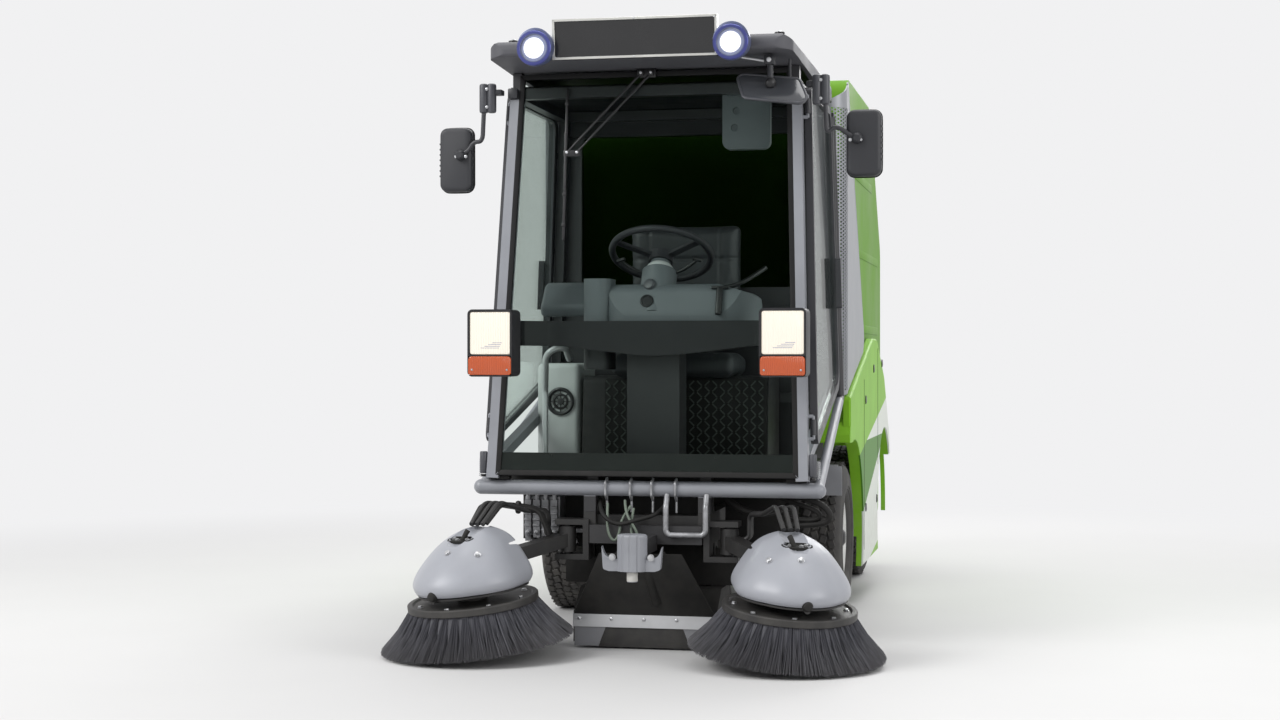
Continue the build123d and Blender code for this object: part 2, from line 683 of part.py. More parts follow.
def grab_handle():
    x = -post_x(700) + post_width + 60
    return bent_bar([(x, bumper_y + 330, floor_z + floor_sheet + contact_gap), (x, bumper_y + 330, 830),
                     (x + 20, bumper_y + 260, 960), (x + 86, bumper_y + 260, 990), (x + 86,
                                                                                    bumper_y + 330, 940)],
                    [40, 50, 30], 11)


def wiper():
    top_y = post_y(1880)
    lean = degrees(atan2(post_top_y - post_foot_y, post_top_z - post_foot_z))
    place = Pos(0, post_y(1500) - post_depth / 2, 1500) * Rot(-lean, 0, 0)
    parts = place * beam((0, -14, 330), (-230, -14, 60), 12, 6, up=(0, 1, 0))
    parts += place * beam((26, -14, 330), (-204, -14, 60), 12, 6, up=(0, 1, 0))
    parts += place * block(-245, -195, -18, -8, 50, 76)
    parts += place * block(-250, -238, -22, -8, -170, 300)
    parts += place * (Pos(10, -6, 335) * Rot(90, 0, 0) * Cylinder(26, 25.4))
    return parts


def mirrors():
    """Side mirrors on bent arms, and the kerb mirror on its ball under the visor."""
    z = 1814
    x = 560
    y = bumper_y + 76
    group = []
    for side, head_x, head_z in ((1, 695, 1615), (-1, 672, 1580)):
        clamp = rod((side * (x - 12), y, z - 44), (side * (x - 12), y, z + 44), 15)
        clamp += rod((side * (x + 12), y, z - 44), (side * (x + 12), y, z + 44), 15)
        post_face = post_y(z + 10) - post_depth / 2 - contact_gap
        clamp += block(side * (post_x(z) - 24), side * (x - 8), post_face - 14, post_face, z + 10, z + 26)
        clamp += block(side * (x - 20), side * (x + 20), y - 6, post_face, z + 10, z + 26)
        arm = bent_bar([(side * (x + 4), y, z - 30), (side * (x + 6), y, z - 130),
                        (side * (head_x - 20), y, head_z + 20)],
                       [50], 8)
        head = block(-56, 56, -22, 22, -106, 106)
        head = fillet(head.edges().filter_by(Axis.Y), 26)
        head = fillet(head.faces().sort_by(Axis.Y)[0].edges(), 12)
        head = Pos(side * head_x, y + 24, head_z) * head
        knuckle_ball = rod((side * (head_x - 20), y - 10, head_z + 20),
                           (side * (head_x - 20), y + 10, head_z + 20), 18)
        group += (clamp + arm + knuckle_ball + head).solids()
    dish = flat_plate([(-118, -44, 20), (118, -60, 20), (96, 60, 24), (-96, 60, 24)], -8, 8)
    dish = Pos(405, bumper_y - 150, 1800) * Rot(-22, 0, -4) * dish
    stalk = rod((405, bumper_y - 150, 1800), (400, bumper_y - 140, roof_under_z(bumper_y - 128) - 1), 12)
    group += (dish + stalk).solids()
    return Compound(children=group)


# Doors
hinge_out = 15.0
hinge_back = 22.0
hinge_pin_radius = 5.0
hinge_heights = (720, 1770)


def hinge_point(z):
    """A point of the left door's hinge line, which runs along the raked post."""
    return Vector(post_x(z) + hinge_out, post_y(z) + hinge_back + post_depth / 2 - 25, z)


def hinge_rod(z, reach, radius):
    """A round bar on the hinge line, reaching as far up as down from a height."""
    along = (hinge_point(1800) - hinge_point(700)).normalized()
    middle = hinge_point(z)
    return rod(middle - along * reach, middle + along * reach, radius)


def door_outline(inset):
    """Door corners as (y, z, radius), following the post, the roof rail and the guard tube."""
    front_low = (post_y(640) + post_depth / 2 + 8 + inset, 655 + inset)
    front_high = (post_y(1838) + post_depth / 2 + 8 + inset, 1838 - inset)
    rear = rear_post_y - 24 - inset
    return [(*front_low, 30), (rear, rear_post_foot_z + 44 + inset * 0.8, 90), (rear, 1838 - inset, 40),
            (*front_high, 30)]


def door(side):
    """Framed glass door: rail round the edge and its handle, and the glass."""
    lean = degrees(atan2(post_foot_x - post_top_x, post_top_z - post_foot_z))
    base_z = 1200
    place = Pos(post_x(base_z) + 3, 0, base_z) * Rot(0, -lean, 0) * Pos(0, 0, -base_z)
    outer = side_plate(door_outline(0), 0, 24)
    cut = side_plate(door_outline(26), -5, 30)
    rail = outer - cut
    handle = block(24, 44, rear_post_y - 66, rear_post_y - 40, 1120, 1300)
    rail += fillet(handle.edges().filter_by(Axis.X), 8)
    pane = side_plate(door_outline(26 + contact_gap), 9, 15)
    rail, pane = place * rail, place * pane
    for z in hinge_heights:
        middle = hinge_point(z)
        rail += block(middle.X - 6, middle.X + 6, middle.Y, middle.Y + 26, z - 24, z + 24)
        rail += hinge_rod(z, 25, hinge_pin_radius + 4)
        rail -= hinge_rod(z, 40, hinge_pin_radius + 0.4)
    return on_side(rail, side), on_side(pane, side)


# Body
top_turn = bumper_y + 1770
screen_rear_y = bumper_y + 1580


def panel_top(y):
    """Height of the side panel's rising top edge at a place along the machine."""
    return body_top_front_z + (body_top_rear_z - body_top_front_z) * (y - shoulder_y) / (top_turn - shoulder_y)


def side_panels():
    """Lower body side, from the shoulder over the front wheel to the tail, with both wheel arches."""
    inner_x = body_half - body_wall
    panel = side_plate([(shoulder_y, shoulder_z, 0), (shoulder_y, body_bottom_z, 0),
                        (rear_axle_y - 200, body_bottom_z, 60), (rear_axle_y - 120, body_bottom_z + 110,
                                                                 60),
                        (body_rear_y - 10, body_bottom_z + 110, 20), (body_rear_y - 10, tip_pivot_z - 190,
                                                                      60),
                        (tip_pivot_y - 150, body_top_rear_z - 160, 90), (top_turn + 200, body_top_rear_z,
                                                                         80),
                        (top_turn, body_top_rear_z, 120), (shoulder_y, body_top_front_z,
                                                           20)], inner_x, body_half)
    ridge = panel.faces().sort_by(Axis.X)[-1].outer_wire().edges()
    panel = chamfer(ridge, 6)
    for y in (front_axle_y, rear_axle_y):
        flange = side_plate([(y - arch_radius - flange_sheet, body_bottom_z + 112, 0),
                             (y + arch_radius + flange_sheet, body_bottom_z + 112, 0),
                             (y + arch_radius + flange_sheet, shoulder_z + 20, 0),
                             (y - arch_radius - flange_sheet, shoulder_z + 20,
                              0)], body_half - flange_depth, inner_x + 1)
        flange &= rod((0, y, tyre_radius), (body_half, y, tyre_radius), arch_radius + flange_sheet)
        panel += flange - rod((0, y, tyre_radius), (body_half, y, tyre_radius), arch_radius - 1)
    for y in (front_axle_y, rear_axle_y):
        panel -= rod((0, y, tyre_radius), (body_half + 10, y, tyre_radius), arch_radius)
    panel -= block(inner_x - 60, body_half + 10, front_axle_y - 2 * arch_radius, front_axle_y, 0,
                   shoulder_z)
    shoulder = side_plate([(shoulder_y - 16, shoulder_z, 6), (shoulder_y + 26, shoulder_z, 0),
                           (shoulder_y + 26, body_top_front_z, 0), (shoulder_y + 4, body_top_front_z, 6),
                           (shoulder_y + 4, shoulder_z + 66, 20), (shoulder_y - 16, shoulder_z + 30, 10)],
                          shoulder_inner_x, body_half - 1)
    for x in (461, 531):
        dish = front_plate([(x - 23, body_top_front_z + 30, 0), (x + 23, body_top_front_z + 30, 0),
                            (x + 21, shoulder_z + 72, 20), (x - 21, shoulder_z + 72,
                                                            20)], shoulder_y - 5, shoulder_y + 14)
        shoulder -= dish
    return pair(panel + shoulder)


def fenders():
    """Grey mudguard over each front wheel."""
    outer = arch_radius - 14
    profile = Plane.YZ.offset(400) * (Circle(outer) - Circle(outer - 6))
    shell = extrude(profile, amount=140, dir=(1, 0, 0))
    shell = Pos(0, front_axle_y, tyre_radius) * shell
    keep = block(380, 560, front_axle_y - outer - 10, shoulder_y, floor_z - 98, floor_z - contact_gap)
    guard = shell & keep
    guard += block(470, body_half - 16, front_axle_y - outer + 40, front_axle_y - outer + 46,
                   floor_z - 104, floor_z - contact_gap)
    return pair(guard)


def side_screens():
    """Perforated sheet that turns from the cab's rear post round to the side of the hopper."""
    front = rear_post_y + guard_radius + 8
    inner = post_top_x - 20
    bent = [(inner, front, 0), (screen_x, front, screen_bend), (screen_x, screen_rear_y, 0),
            (screen_x - screen_sheet, screen_rear_y, 0),
            (screen_x - screen_sheet, front + screen_sheet, screen_bend - screen_sheet),
            (inner, front + screen_sheet, 0)]
    sheet = flat_plate(bent, body_top_front_z, hopper_top_z)
    top_front_z = post_top_z + 26
    sheet &= side_plate([(front - 5, panel_top(front) + screen_gap, 0),
                         (screen_rear_y, panel_top(screen_rear_y) + screen_gap, 60),
                         (front + 90, hopper_top_z - 30, 30), (front - 5, top_front_z,
                                                               0)], 0, screen_x + 5)
    under_roof = roof_edge_z - running_gap
    sheet &= front_plate([(post_x(780) + 2, 780, 0), (screen_x + 5, 780, 0), (screen_x + 5, 2000, 0),
                          (roof_half + running_gap, 2000, 0), (roof_half + running_gap, under_roof, 0),
                          (post_x(under_roof) + 2, under_roof, 0)], front - 5, screen_rear_y + 5)
    for z in (880, 1340, 1820):
        sheet += block(post_x(z - 10) + contact_gap, post_x(z) + 30, front + 2, rear_post_y + 44, z - 10,
                       z + 10)
    return pair(sheet)


def tail_panel():
    half = 520
    tail = side_plate([(body_rear_y + contact_gap, 250, 0), (body_rear_y + tail_depth - 20, 250, 40),
                       (body_rear_y + tail_depth, 640, 40), (body_rear_y + contact_gap, 660,
                                                             0)], -half, half)
    for side in sides.values():
        tail -= block(side * (rail_half + 6), side * (half - 8), body_rear_y - 5, body_rear_y + 70, 240,
                      648)
    tail -= block(-60, 60, body_rear_y - 5, body_rear_y + tail_depth + 5, tow_z - 150, tow_z + 40)
    for side in sides.values():
        tail -= block(side * 400, side * 490, body_rear_y + tail_depth - 30,
                      body_rear_y + tail_depth + 10, 420, 600)
    return tail


def tail_lamps():
    gap = contact_gap
    lens = block(400 + gap, 490 - gap, body_rear_y + tail_depth - 30 + gap, body_rear_y + tail_depth - 5,
                 420 + gap, 600 - gap)
    return pair(lens)


# Hopper
def hopper_profile(inset):
    return [(hopper_front_y + inset, hopper_bottom_z + inset, 30),
            (hopper_rear_y - inset, hopper_bottom_z + inset, 20),
            (hopper_rear_y - inset, hopper_slope_z - inset * 0.5, 120), (hopper_slope_y,
                                                                         hopper_top_z - inset, 200),
            (hopper_front_y + inset, hopper_top_z - inset, 60)]


door_half = 470.0


def hopper_shell():
    shell = side_plate(hopper_profile(0), -hopper_half, hopper_half)
    shell -= side_plate(hopper_profile(hopper_wall), -hopper_half + hopper_wall,
                        hopper_half - hopper_wall)
    shell -= block(-door_half, door_half, hopper_rear_y - 60, hopper_rear_y + 20, hopper_bottom_z + 30,
                   door_hinge_z - 42)
    shell -= rod((0, hopper_front_y - 20, suction_inlet_z), (0, hopper_front_y + 40, suction_inlet_z),
                 suction_radius)
    return shell


def hopper_brackets():
    """Pivot ears and lift ears under the hopper's floor, and the door's hinge lugs on its rear wall."""
    group = []
    under = hopper_bottom_z - contact_gap
    for side in sides.values():
        ear = side_plate([(tip_pivot_y - 50, under, 0), (tip_pivot_y + 50, under, 0),
                          (tip_pivot_y + 28, tip_pivot_z - 28, 26), (tip_pivot_y - 28, tip_pivot_z - 28,
                                                                     26)],
                         side * 212, side * 256)
        ear -= rod((-300, tip_pivot_y, tip_pivot_z), (300, tip_pivot_y, tip_pivot_z),
                   tip_pin_radius + 0.5)
        group += ear.solids()
    eye_y, eye_z = cylinder_eye
    lift = block(-ear_gap - 12, ear_gap + 12, eye_y - 40, eye_y + 40, under - 8, under)
    for side in (1, -1):
        lift += side_plate([(eye_y - 40, under - 4, 0), (eye_y - 24, eye_z - 24, 20),
                            (eye_y + 24, eye_z - 24, 20), (eye_y + 40, under - 4, 0)],
                           side * ear_gap, side * (ear_gap + 12))
        lift += rod((side * ear_gap, eye_y, eye_z), (side * (ear_gap + 20), eye_y, eye_z), 17)
    group += lift.solids()
    wall_y = hopper_rear_y + contact_gap
    for x in door_hinges_x:
        hinge = rod((x - door_hinge_half - 4, door_hinge_y, door_hinge_z),
                    (x + door_hinge_half + 4, door_hinge_y, door_hinge_z), door_pin_radius)
        for end in (-1, 1):
            lug_x = x + end * door_hinge_half
            hinge += block(lug_x, lug_x + end * 12, wall_y, door_hinge_y + 8, door_hinge_z - 8,
                           door_hinge_z + 8)
        group += hinge.solids()
    return Compound(children=group)


suction_inlet_z = 1230.0


def hopper_door():
    door = front_plate([(-door_half - 16, hopper_bottom_z + 8, 20),
                        (door_half + 16, hopper_bottom_z + 8, 20),
                        (door_half + 16, door_hinge_z - 14, 20), (-door_half - 16, door_hinge_z - 14,
                                                                  20)],
                       hopper_rear_y + 0.5, hopper_rear_y + 22)
    for x in door_hinges_x:
        reach = door_hinge_half - 2
        door += block(x - reach, x + reach, hopper_rear_y + 4, hopper_rear_y + 22, door_hinge_z - 30,
                      door_hinge_z)
        door += rod((x - reach, door_hinge_y, door_hinge_z), (x + reach, door_hinge_y, door_hinge_z), 11)
        door -= rod((x - reach - 5, door_hinge_y, door_hinge_z),
                    (x + reach + 5, door_hinge_y, door_hinge_z),
                    door_pin_radius + contact_gap)
    return door


def suction_tube():
    y = bumper_y + 975
    low = nozzle_top_z + 30 + contact_gap
    path = FilletPolyline((0, bumper_y + 150, low), (0, bumper_y + 150, low + 60),
                          (0, bumper_y + 400, duct_z),
                          (0, y, duct_z), (0, y, suction_inlet_z),
                          (0, hopper_front_y - running_gap, suction_inlet_z), radius=[60, 90, 80, 76])
    ring = Circle(suction_radius) - Circle(suction_radius - 6)
    return sweep(Plane(origin=path @ 0, z_dir=path % 0) * ring, path=path)


# Nozzle and front fittings
def nozzle_hood():
    hood = side_plate([(nozzle_front_y, 20, 0), (nozzle_rear_y, 20, 0), (nozzle_rear_y, 80, 20),
                       (bumper_y + 240, nozzle_top_z + 30, 20), (bumper_y + 60, nozzle_top_z + 30, 20),
                       (nozzle_front_y, 116, 10)], -nozzle_half, nozzle_half)
    hood -= side_plate([(nozzle_front_y + 20, 10, 0), (nozzle_rear_y - 12, 10, 0),
                        (nozzle_rear_y - 20, 70, 10),
                        (bumper_y + 200, 110, 10), (nozzle_front_y + 20, 90,
                                                    10)], -nozzle_half + 12, nozzle_half - 12)
    hood -= rod((0, bumper_y + 150, 60), (0, bumper_y + 150, nozzle_top_z + 60), suction_radius - 6)
    return hood


def nozzle_strip():
    return block(-nozzle_half, nozzle_half, nozzle_front_y - 6, nozzle_front_y - contact_gap, 70, 114)


def crown_bracket():
    """Cast bracket in the middle: a fluted boss between two scooped wings, and its arm to the frame."""
    wings = front_plate([(-97, 352, 0), (-86, 322, 26), (-56, 310, 20), (0, 312, 0), (56, 310, 20),
                         (86, 322, 26),
                         (97, 352, 0), (92, 280, 10), (74, 274, 8), (-74, 274, 8), (-92, 280, 10)],
                        crown_y - 12, crown_y + 12)
    boss = Pos(0, crown_y, 274) * extrude(Ellipse(48, 36), amount=crown_top_z - 274)
    boss = fillet(boss.faces().sort_by(Axis.Z)[-1].edges(), 8)
    for x in (-26, 0, 26):
        boss -= rod((x, crown_y - 41 + abs(x) * 0.22, 260),
                    (x, crown_y - 41 + abs(x) * 0.22, crown_top_z + 10), 7)
    crown = wings + boss
    crown += rod((0, crown_y, 240), (0, crown_y, 275), 16)
    crown += block(-36, 36, crown_y + 8, rail_front_y - contact_gap, rail_bottom_z - 20,
                   rail_bottom_z + 30)
    crown += block(-rail_half + 24, rail_half - 24, rail_front_y - 20, rail_front_y - contact_gap,
                   rail_bottom_z, rail_bottom_z + 60)
    return crown


crown_y = bumper_y - 235
crown_top_z = 390.0


def front_fittings():
    """Valve block, hose tray, tie loop and hook rods under the bumper tube."""
    group = []
    valves = block(-440, -320, valve_y, valve_y + 80, 330, 480)
    for i in range(4):
        x = -425 + 30 * i
        valves += block(x - 11, x + 11, valve_y - 22, valve_y + 2, 350 - 6 * (i % 2), 470)
        valves += rod((x, valve_y - 10, 470), (x, valve_y - 10, 496), 8)
    valves += block(-322, -rail_half - contact_gap, valve_y + 10, valve_y + 70, rail_bottom_z + 20,
                    rail_bottom_z + 32)
    group += valves.solids()
    loop = bent_bar([(70, bumper_y - 17, 500), (70, bumper_y - 42, 462), (70, bumper_y - 42, 372),
                     (200, bumper_y - 42, 372), (200, bumper_y - 42, 462), (200, bumper_y - 17,
                                                                            500)], 18, 9)
    group += (loop - rod((-600, bumper_y, bumper_z), (600, bumper_y, bumper_z),
                         bumper_radius + contact_gap)).solids()
    for x in hook_x:
        hook = rod((x, bumper_y - 2, bumper_z - bumper_radius - 52),
                   (x, bumper_y - 2, bumper_z + bumper_radius + 8), 4)
        hook -= rod((-600, bumper_y, bumper_z), (600, bumper_y, bumper_z), bumper_radius + contact_gap)
        hook += bent_bar([(x, bumper_y - 2, bumper_z + bumper_radius + 8),
                          (x, bumper_y - bumper_radius - 6, bumper_z + bumper_radius - 4),
                          (x, bumper_y - bumper_radius - 6, bumper_z - bumper_radius + 4),
                          (x, bumper_y - 2, bumper_z - bumper_radius - 14)], 8, 4)
        group += hook.solids()
    return Compound(children=group)


valve_y = bumper_y + 110
hook_x = (-133.0, -51.0, 20.0, 98.0)


# Side brushes, made for the left side
tip_centre_z = brush_clear + brush_tip_radius * sin(radians(brush_tilt * 1.42))
brush_place = Pos(brush_x, brush_y, tip_centre_z) * Rot(brush_tilt, brush_tilt, 0)


def upright(radius, low, high):
    """A round column on the brush's own axis."""
    return Pos(0, 0, low) * Cylinder(radius, high - low, align=(Align.CENTER, Align.CENTER, Align.MIN))


def brush_disc(side):
    """Disc with its rim and boss, and the flared bristles under it, split into tufts."""
    top = brush_disc_z + brush_disc_rim
    root = brush_root_radius
    disc = upright(brush_disc_radius, brush_disc_z, top) - upright(root, brush_disc_z, top - 8)
    disc += upright(root, brush_disc_z + 6, top) - upright(root - 54, brush_disc_z, top)
    disc += upright(46, brush_disc_z, top + 14)
    hub_hole = upright(brush_shaft_radius + contact_gap, 0, top + 20)
    flare = revolve(Plane.XZ * outline([(root - 50, brush_disc_z + 8, 0), (root, brush_disc_z + 8, 0),
                                        (brush_tip_radius, 0, 0), (brush_tip_radius - 60, 0,
                                                                   0)]), axis=Axis.Z)
    slot = flat_plate([(130, -2, 0), (340, -8, 0), (340, 8, 0), (130, 2, 0)], -5, brush_disc_z - 22)
    flare -= Part() + [Rot(0, 0, 360 / tuft_count * i) * slot for i in range(tuft_count)]
    return on_side(brush_place * (disc + flare - hub_hole), side)


def cover_outline(half, front, rear):
    """The cover's plan at one height: a rounded nose in front, a flatter back."""
    nose = front + half * 0.34
    widest = -front + (front + rear) * 0.38
    return outline([(-half, widest, half * 0.9), (0, -nose, half * 0.78), (half, widest, half * 0.9),
                    (half * 0.86, rear, half * 0.3), (-half * 0.86, rear, half * 0.3)])


# Height, half width, reach to the front and reach to the rear of the cover's sections
cover_sections = [(0, 178, 182, 128), (28, 190, 196, 140), (86, 160, 160, 137), (134, 121, 98, 130),
                  (170, 66, 24, 108),
                  (181, 36, -10, 92)]


def cover_dome(shrink):
    """The cover's outer shape, or its inside a wall's thickness smaller."""
    sections = []
    for height, half, front, rear in cover_sections:
        z = cover_z + height - (shrink if height else 1.5 * shrink)
        sections.append(Pos(0, 0, z) * cover_outline(half - shrink, front - shrink, rear - shrink))
    return loft(sections)


def hose_trough(extra):
    """Round trough from the cover's back to its hose hole."""
    return rod((0, -86, cover_z + 196), (0, 170, cover_z + 244), 56 + extra)


def brush_cover(side):
    """Moulded dome over the brush motor, with a trough and an oval hose hole in its top."""
    cover = (cover_dome(0) - hose_trough(0)) - (cover_dome(cover_wall) - hose_trough(cover_wall))
    cover -= Pos(0, -26, cover_z + 90) * extrude(Ellipse(43, 19), amount=140)
    cover -= Pos(-34, 130, cover_z + 60) * Box(170, 130, 140)
    cover -= rod((0, -240, cover_z), (0, -150, cover_z), 17)
    return on_side(brush_place * Rot(0, 0, cover_turn) * cover, side)


def brush_arm(side):
    """Swing arm with its pivot boss, the motor that drives the disc, and the plate that holds the cover."""
    low = brush_disc_z + brush_disc_rim + 20
    motor = upright(motor_radius, low, low + motor_length)
    motor += upright(brush_shaft_radius, brush_disc_z + 8, low)
    half, front, rear = cover_sections[0][1:]
    plate = extrude(Pos(0, 0, cover_z - contact_gap - 6) * cover_outline(half - 1, front - 1, rear - 1),
                    amount=6)
    plate += rod((0, -front - 14, cover_z - 4), (0, -150, cover_z - 4), 9)
    motor += Rot(0, 0, cover_turn) * plate
    motor = brush_place * motor
    top = (brush_place * Pos(0, 0, low + 76)).position
    arm = beam((arm_pivot_x, arm_pivot_y, arm_z), (top.X - 10, top.Y + 10, top.Z), 50, 44)
    boss = Pos(arm_pivot_x, arm_pivot_y, arm_z) * Cylinder(30, 84)
    arm = arm + boss + motor
    back = brush_place * Rot(0, 0, cover_turn)
    for i, spread in enumerate((-22, 0, 22)):
        start = (back * Pos(spread, 60, cover_z + 190)).position
        rise = (back * Pos(spread * 1.3, 150, cover_z + 246)).position
        arm += bent_bar([start, rise, (arm_pivot_x + 120, arm_pivot_y - 60 + spread, 446),
                         (arm_pivot_x + 68, arm_pivot_y + spread * 0.8, 440), (arm_pivot_x + 68,
                                                                               arm_pivot_y + spread * 0.8, 362),
                         (arm_pivot_x + 20, arm_pivot_y + spread * 0.6, 352)],
                        [40, 40, 24, 20], hose_radius)
    arm -= Pos(arm_pivot_x, arm_pivot_y, arm_z) * Cylinder(15.5, 140)
    return on_side(arm, side)


def build():
    parts = {
        "chassis_frame": chassis_frame(), "front_axle": front_axle(), "rear_axle": rear_axle(),
        "battery_block": battery_block(), "hopper_stand": hopper_stand(),
        "cab_frame": cab_frame(), "bumper_tube": bumper(),
        "cab_floor": cab_floor(), "windscreen_seal": windscreen_seal(), "cab_glass": cab_glass(),
        "bulkhead": bulkhead(), "roof_cap": roof_cap(), "sign_board": sign_board(), "roof_lamps": roof_lamps(),
        "seat_base": seat_base(), "seat_pads": seat_pads(), "steering_wheel": steering_wheel(),
        "dash_console": dash_console(), "lamp_beam": lamp_beam(), "headlamp_lenses": headlamp_lenses(),
        "indicators": indicators(), "grab_handle": grab_handle(), "overhead_panel": overhead_panel(),
        "wiper": wiper(), "mirrors": mirrors(),
        "side_panels": side_panels(), "fenders": fenders(), "side_screens": side_screens(),
        "tail_panel": tail_panel(), "tail_lamps": tail_lamps(), "hopper_shell": hopper_shell(),
        "hopper_brackets": hopper_brackets(), "hopper_door": hopper_door(), "suction_tube": suction_tube(), "nozzle_hood": nozzle_hood(),
        "nozzle_strip": nozzle_strip(), "crown_bracket": crown_bracket(), "front_fittings": front_fittings(),
    }
    parts["tip_barrel"], parts["tip_rod"] = tip_cylinder()
    for side in sides:
        parts[f"knuckle_{side}"] = on_side(knuckle(), side)
        parts[f"door_frame_{side}"], parts[f"door_glass_{side}"] = door(side)
        parts[f"brush_{side}"] = brush_disc(side)
        parts[f"brush_cover_{side}"] = brush_cover(side)
        parts[f"brush_arm_{side}"] = brush_arm(side)
        for end, x, y in (("front", front_wheel_x, front_axle_y), ("rear", rear_wheel_x, rear_axle_y)):
            parts[f"tyre_{end}_{side}"] = on_side(tyre(x, y), side)
            parts[f"rim_{end}_{side}"] = on_side(rim(x, y, stub_radius), side)
    return parts


if __name__ == "__main__":
    os.makedirs("parts", exist_ok=True)
    for name, shape in build().items():
        export_step(shape, os.path.join("parts", name + ".step"))
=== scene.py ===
"""Looks of the compact road sweeper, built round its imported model.

Metres, in the model's frame: +X is the machine's left, -Y its front, +Z up, the ground at zero.
"""
import json
import math
import random

import bmesh
import bpy
from mathutils import Matrix, Vector


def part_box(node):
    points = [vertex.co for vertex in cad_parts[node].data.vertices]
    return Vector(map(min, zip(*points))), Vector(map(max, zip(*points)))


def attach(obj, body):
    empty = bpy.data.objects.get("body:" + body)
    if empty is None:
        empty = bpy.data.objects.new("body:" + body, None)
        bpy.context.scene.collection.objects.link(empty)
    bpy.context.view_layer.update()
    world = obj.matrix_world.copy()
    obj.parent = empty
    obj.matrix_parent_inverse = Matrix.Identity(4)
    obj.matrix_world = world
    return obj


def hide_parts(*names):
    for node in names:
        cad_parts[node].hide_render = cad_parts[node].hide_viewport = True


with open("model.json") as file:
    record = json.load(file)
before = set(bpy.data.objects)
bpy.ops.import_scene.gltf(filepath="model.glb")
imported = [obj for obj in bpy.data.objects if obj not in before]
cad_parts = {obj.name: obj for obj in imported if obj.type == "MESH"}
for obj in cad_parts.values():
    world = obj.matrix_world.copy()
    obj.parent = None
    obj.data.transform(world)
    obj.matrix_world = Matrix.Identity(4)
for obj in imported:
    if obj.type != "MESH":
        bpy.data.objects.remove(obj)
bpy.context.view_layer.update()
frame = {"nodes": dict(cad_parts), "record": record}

# The left side is built, and the right side is its mirror image
SIDES = {"left": 1, "right": -1}
MIRROR = Matrix.Scale(-1, 4, (1, 0, 0))
OVER = {"left": Matrix.Identity(4), "right": MIRROR}
BOTH_SIDES = tuple(OVER.values())

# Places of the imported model: the rear of the cab, and the side panels' outer face
CAB_REAR_Y = -0.283
PANEL_FACE_X = 0.5735

# White of the studio behind the machine
BACKGROUND = "F1F1F2"


def linear(code):
    """A colour of six hex digits, from sRGB to the linear values that shaders take."""
    parts = [int(code[i:i + 2], 16) / 255 for i in (0, 2, 4)]
    return tuple(c / 12.92 if c <= 0.04045 else ((c + 0.055) / 1.055) ** 2.4 for c in parts) + (1.0,)


def at(x=0.0, y=0.0, z=0.0, rx=0.0, ry=0.0, rz=0.0):
    """A place: turned in degrees about X, then Y, then Z of its own axes, and set down at a point."""
    turn = (Matrix.Rotation(math.radians(rx), 4, "X") @ Matrix.Rotation(math.radians(ry), 4, "Y")
            @ Matrix.Rotation(math.radians(rz), 4, "Z"))
    return Matrix.Translation((x, y, z)) @ turn


def middle_of(node):
    """The middle of a node's box."""
    low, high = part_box(node)
    return (low + high) / 2


# Shapes. Each one is a mesh round its own axes, which a piece then takes in.
def rounded(bm, edges, width, steps=2):
    """Rounds edges off."""
    bmesh.ops.bevel(bm, geom=list(edges), offset=width, offset_type="OFFSET", segments=steps, profile=0.5,
                    affect="EDGES", clamp_overlap=True, material=-1)


def block(size, round_off=0.0, steps=2, along=None):
    """A box with its edges rounded, or only those that run along one axis."""
    bm = bmesh.new()
    bmesh.ops.create_cube(bm, size=1.0, matrix=Matrix.Diagonal((*size, 1)))
    if round_off:
        edges = [e for e in bm.edges
                 if along is None or abs((e.verts[0].co - e.verts[1].co).normalized()[along]) > 0.9]
        rounded(bm, edges, round_off, steps)
    return bm


def drum(radius, height, far_radius=None, sides=32, round_off=0.0):
    """A round bar or cone that stands on its own axes, with its rims rounded."""
    bm = bmesh.new()
    bmesh.ops.create_cone(bm, cap_ends=True, cap_tris=False, segments=sides, radius1=radius,
                          radius2=radius if far_radius is None else far_radius, depth=height,
                          matrix=Matrix.Translation((0, 0, height / 2)))
    if round_off:
        rims = [e for e in bm.edges if abs(e.verts[0].co.z - e.verts[1].co.z) < 1e-6]
        rounded(bm, rims, round_off)
    return bm


def turned(profile, steps=48, closed=False):
    """(radius, height) points turned round the Z axis."""
    bm = bmesh.new()
    verts = [bm.verts.new((radius, 0, height)) for radius, height in profile]
    edges = [bm.edges.new(ends) for ends in zip(verts, verts[1:])]
    if closed:
        edges.append(bm.edges.new((verts[-1], verts[0])))
    bmesh.ops.spin(bm, geom=verts + edges, cent=(0, 0, 0), axis=(0, 0, 1), angle=math.tau, steps=steps,
                   use_merge=True)
    bmesh.ops.remove_doubles(bm, verts=bm.verts, dist=1e-6)
    return bm


def outline(corners, steps=5):
    """(x, y, radius) corners as points, with each corner rounded by an arc."""
    points = []
    for i, (x, y, radius) in enumerate(corners):
        here = Vector((x, y))
        if radius == 0:
            points.append(here)
            continue
        before = (Vector(corners[i - 1][:2]) - here).normalized()
        after = (Vector(corners[(i + 1) % len(corners)][:2]) - here).normalized()
        half = before.angle(after) / 2
        centre = here + (before + after).normalized() * (radius / math.sin(half))
        start = here + before * (radius / math.tan(half)) - centre
        end = here + after * (radius / math.tan(half)) - centre
        points += [centre + start.slerp(end, k / steps).normalized() * radius for k in range(steps + 1)]
    return points


def oblong(half_x, half_y, radius, steps=5):
    """The outline of a rectangle with rounded corners, by its half sides."""
    return outline([(x * half_x, y * half_y, radius) for x, y in ((-1, -1), (1, -1), (1, 1), (-1, 1))], steps)


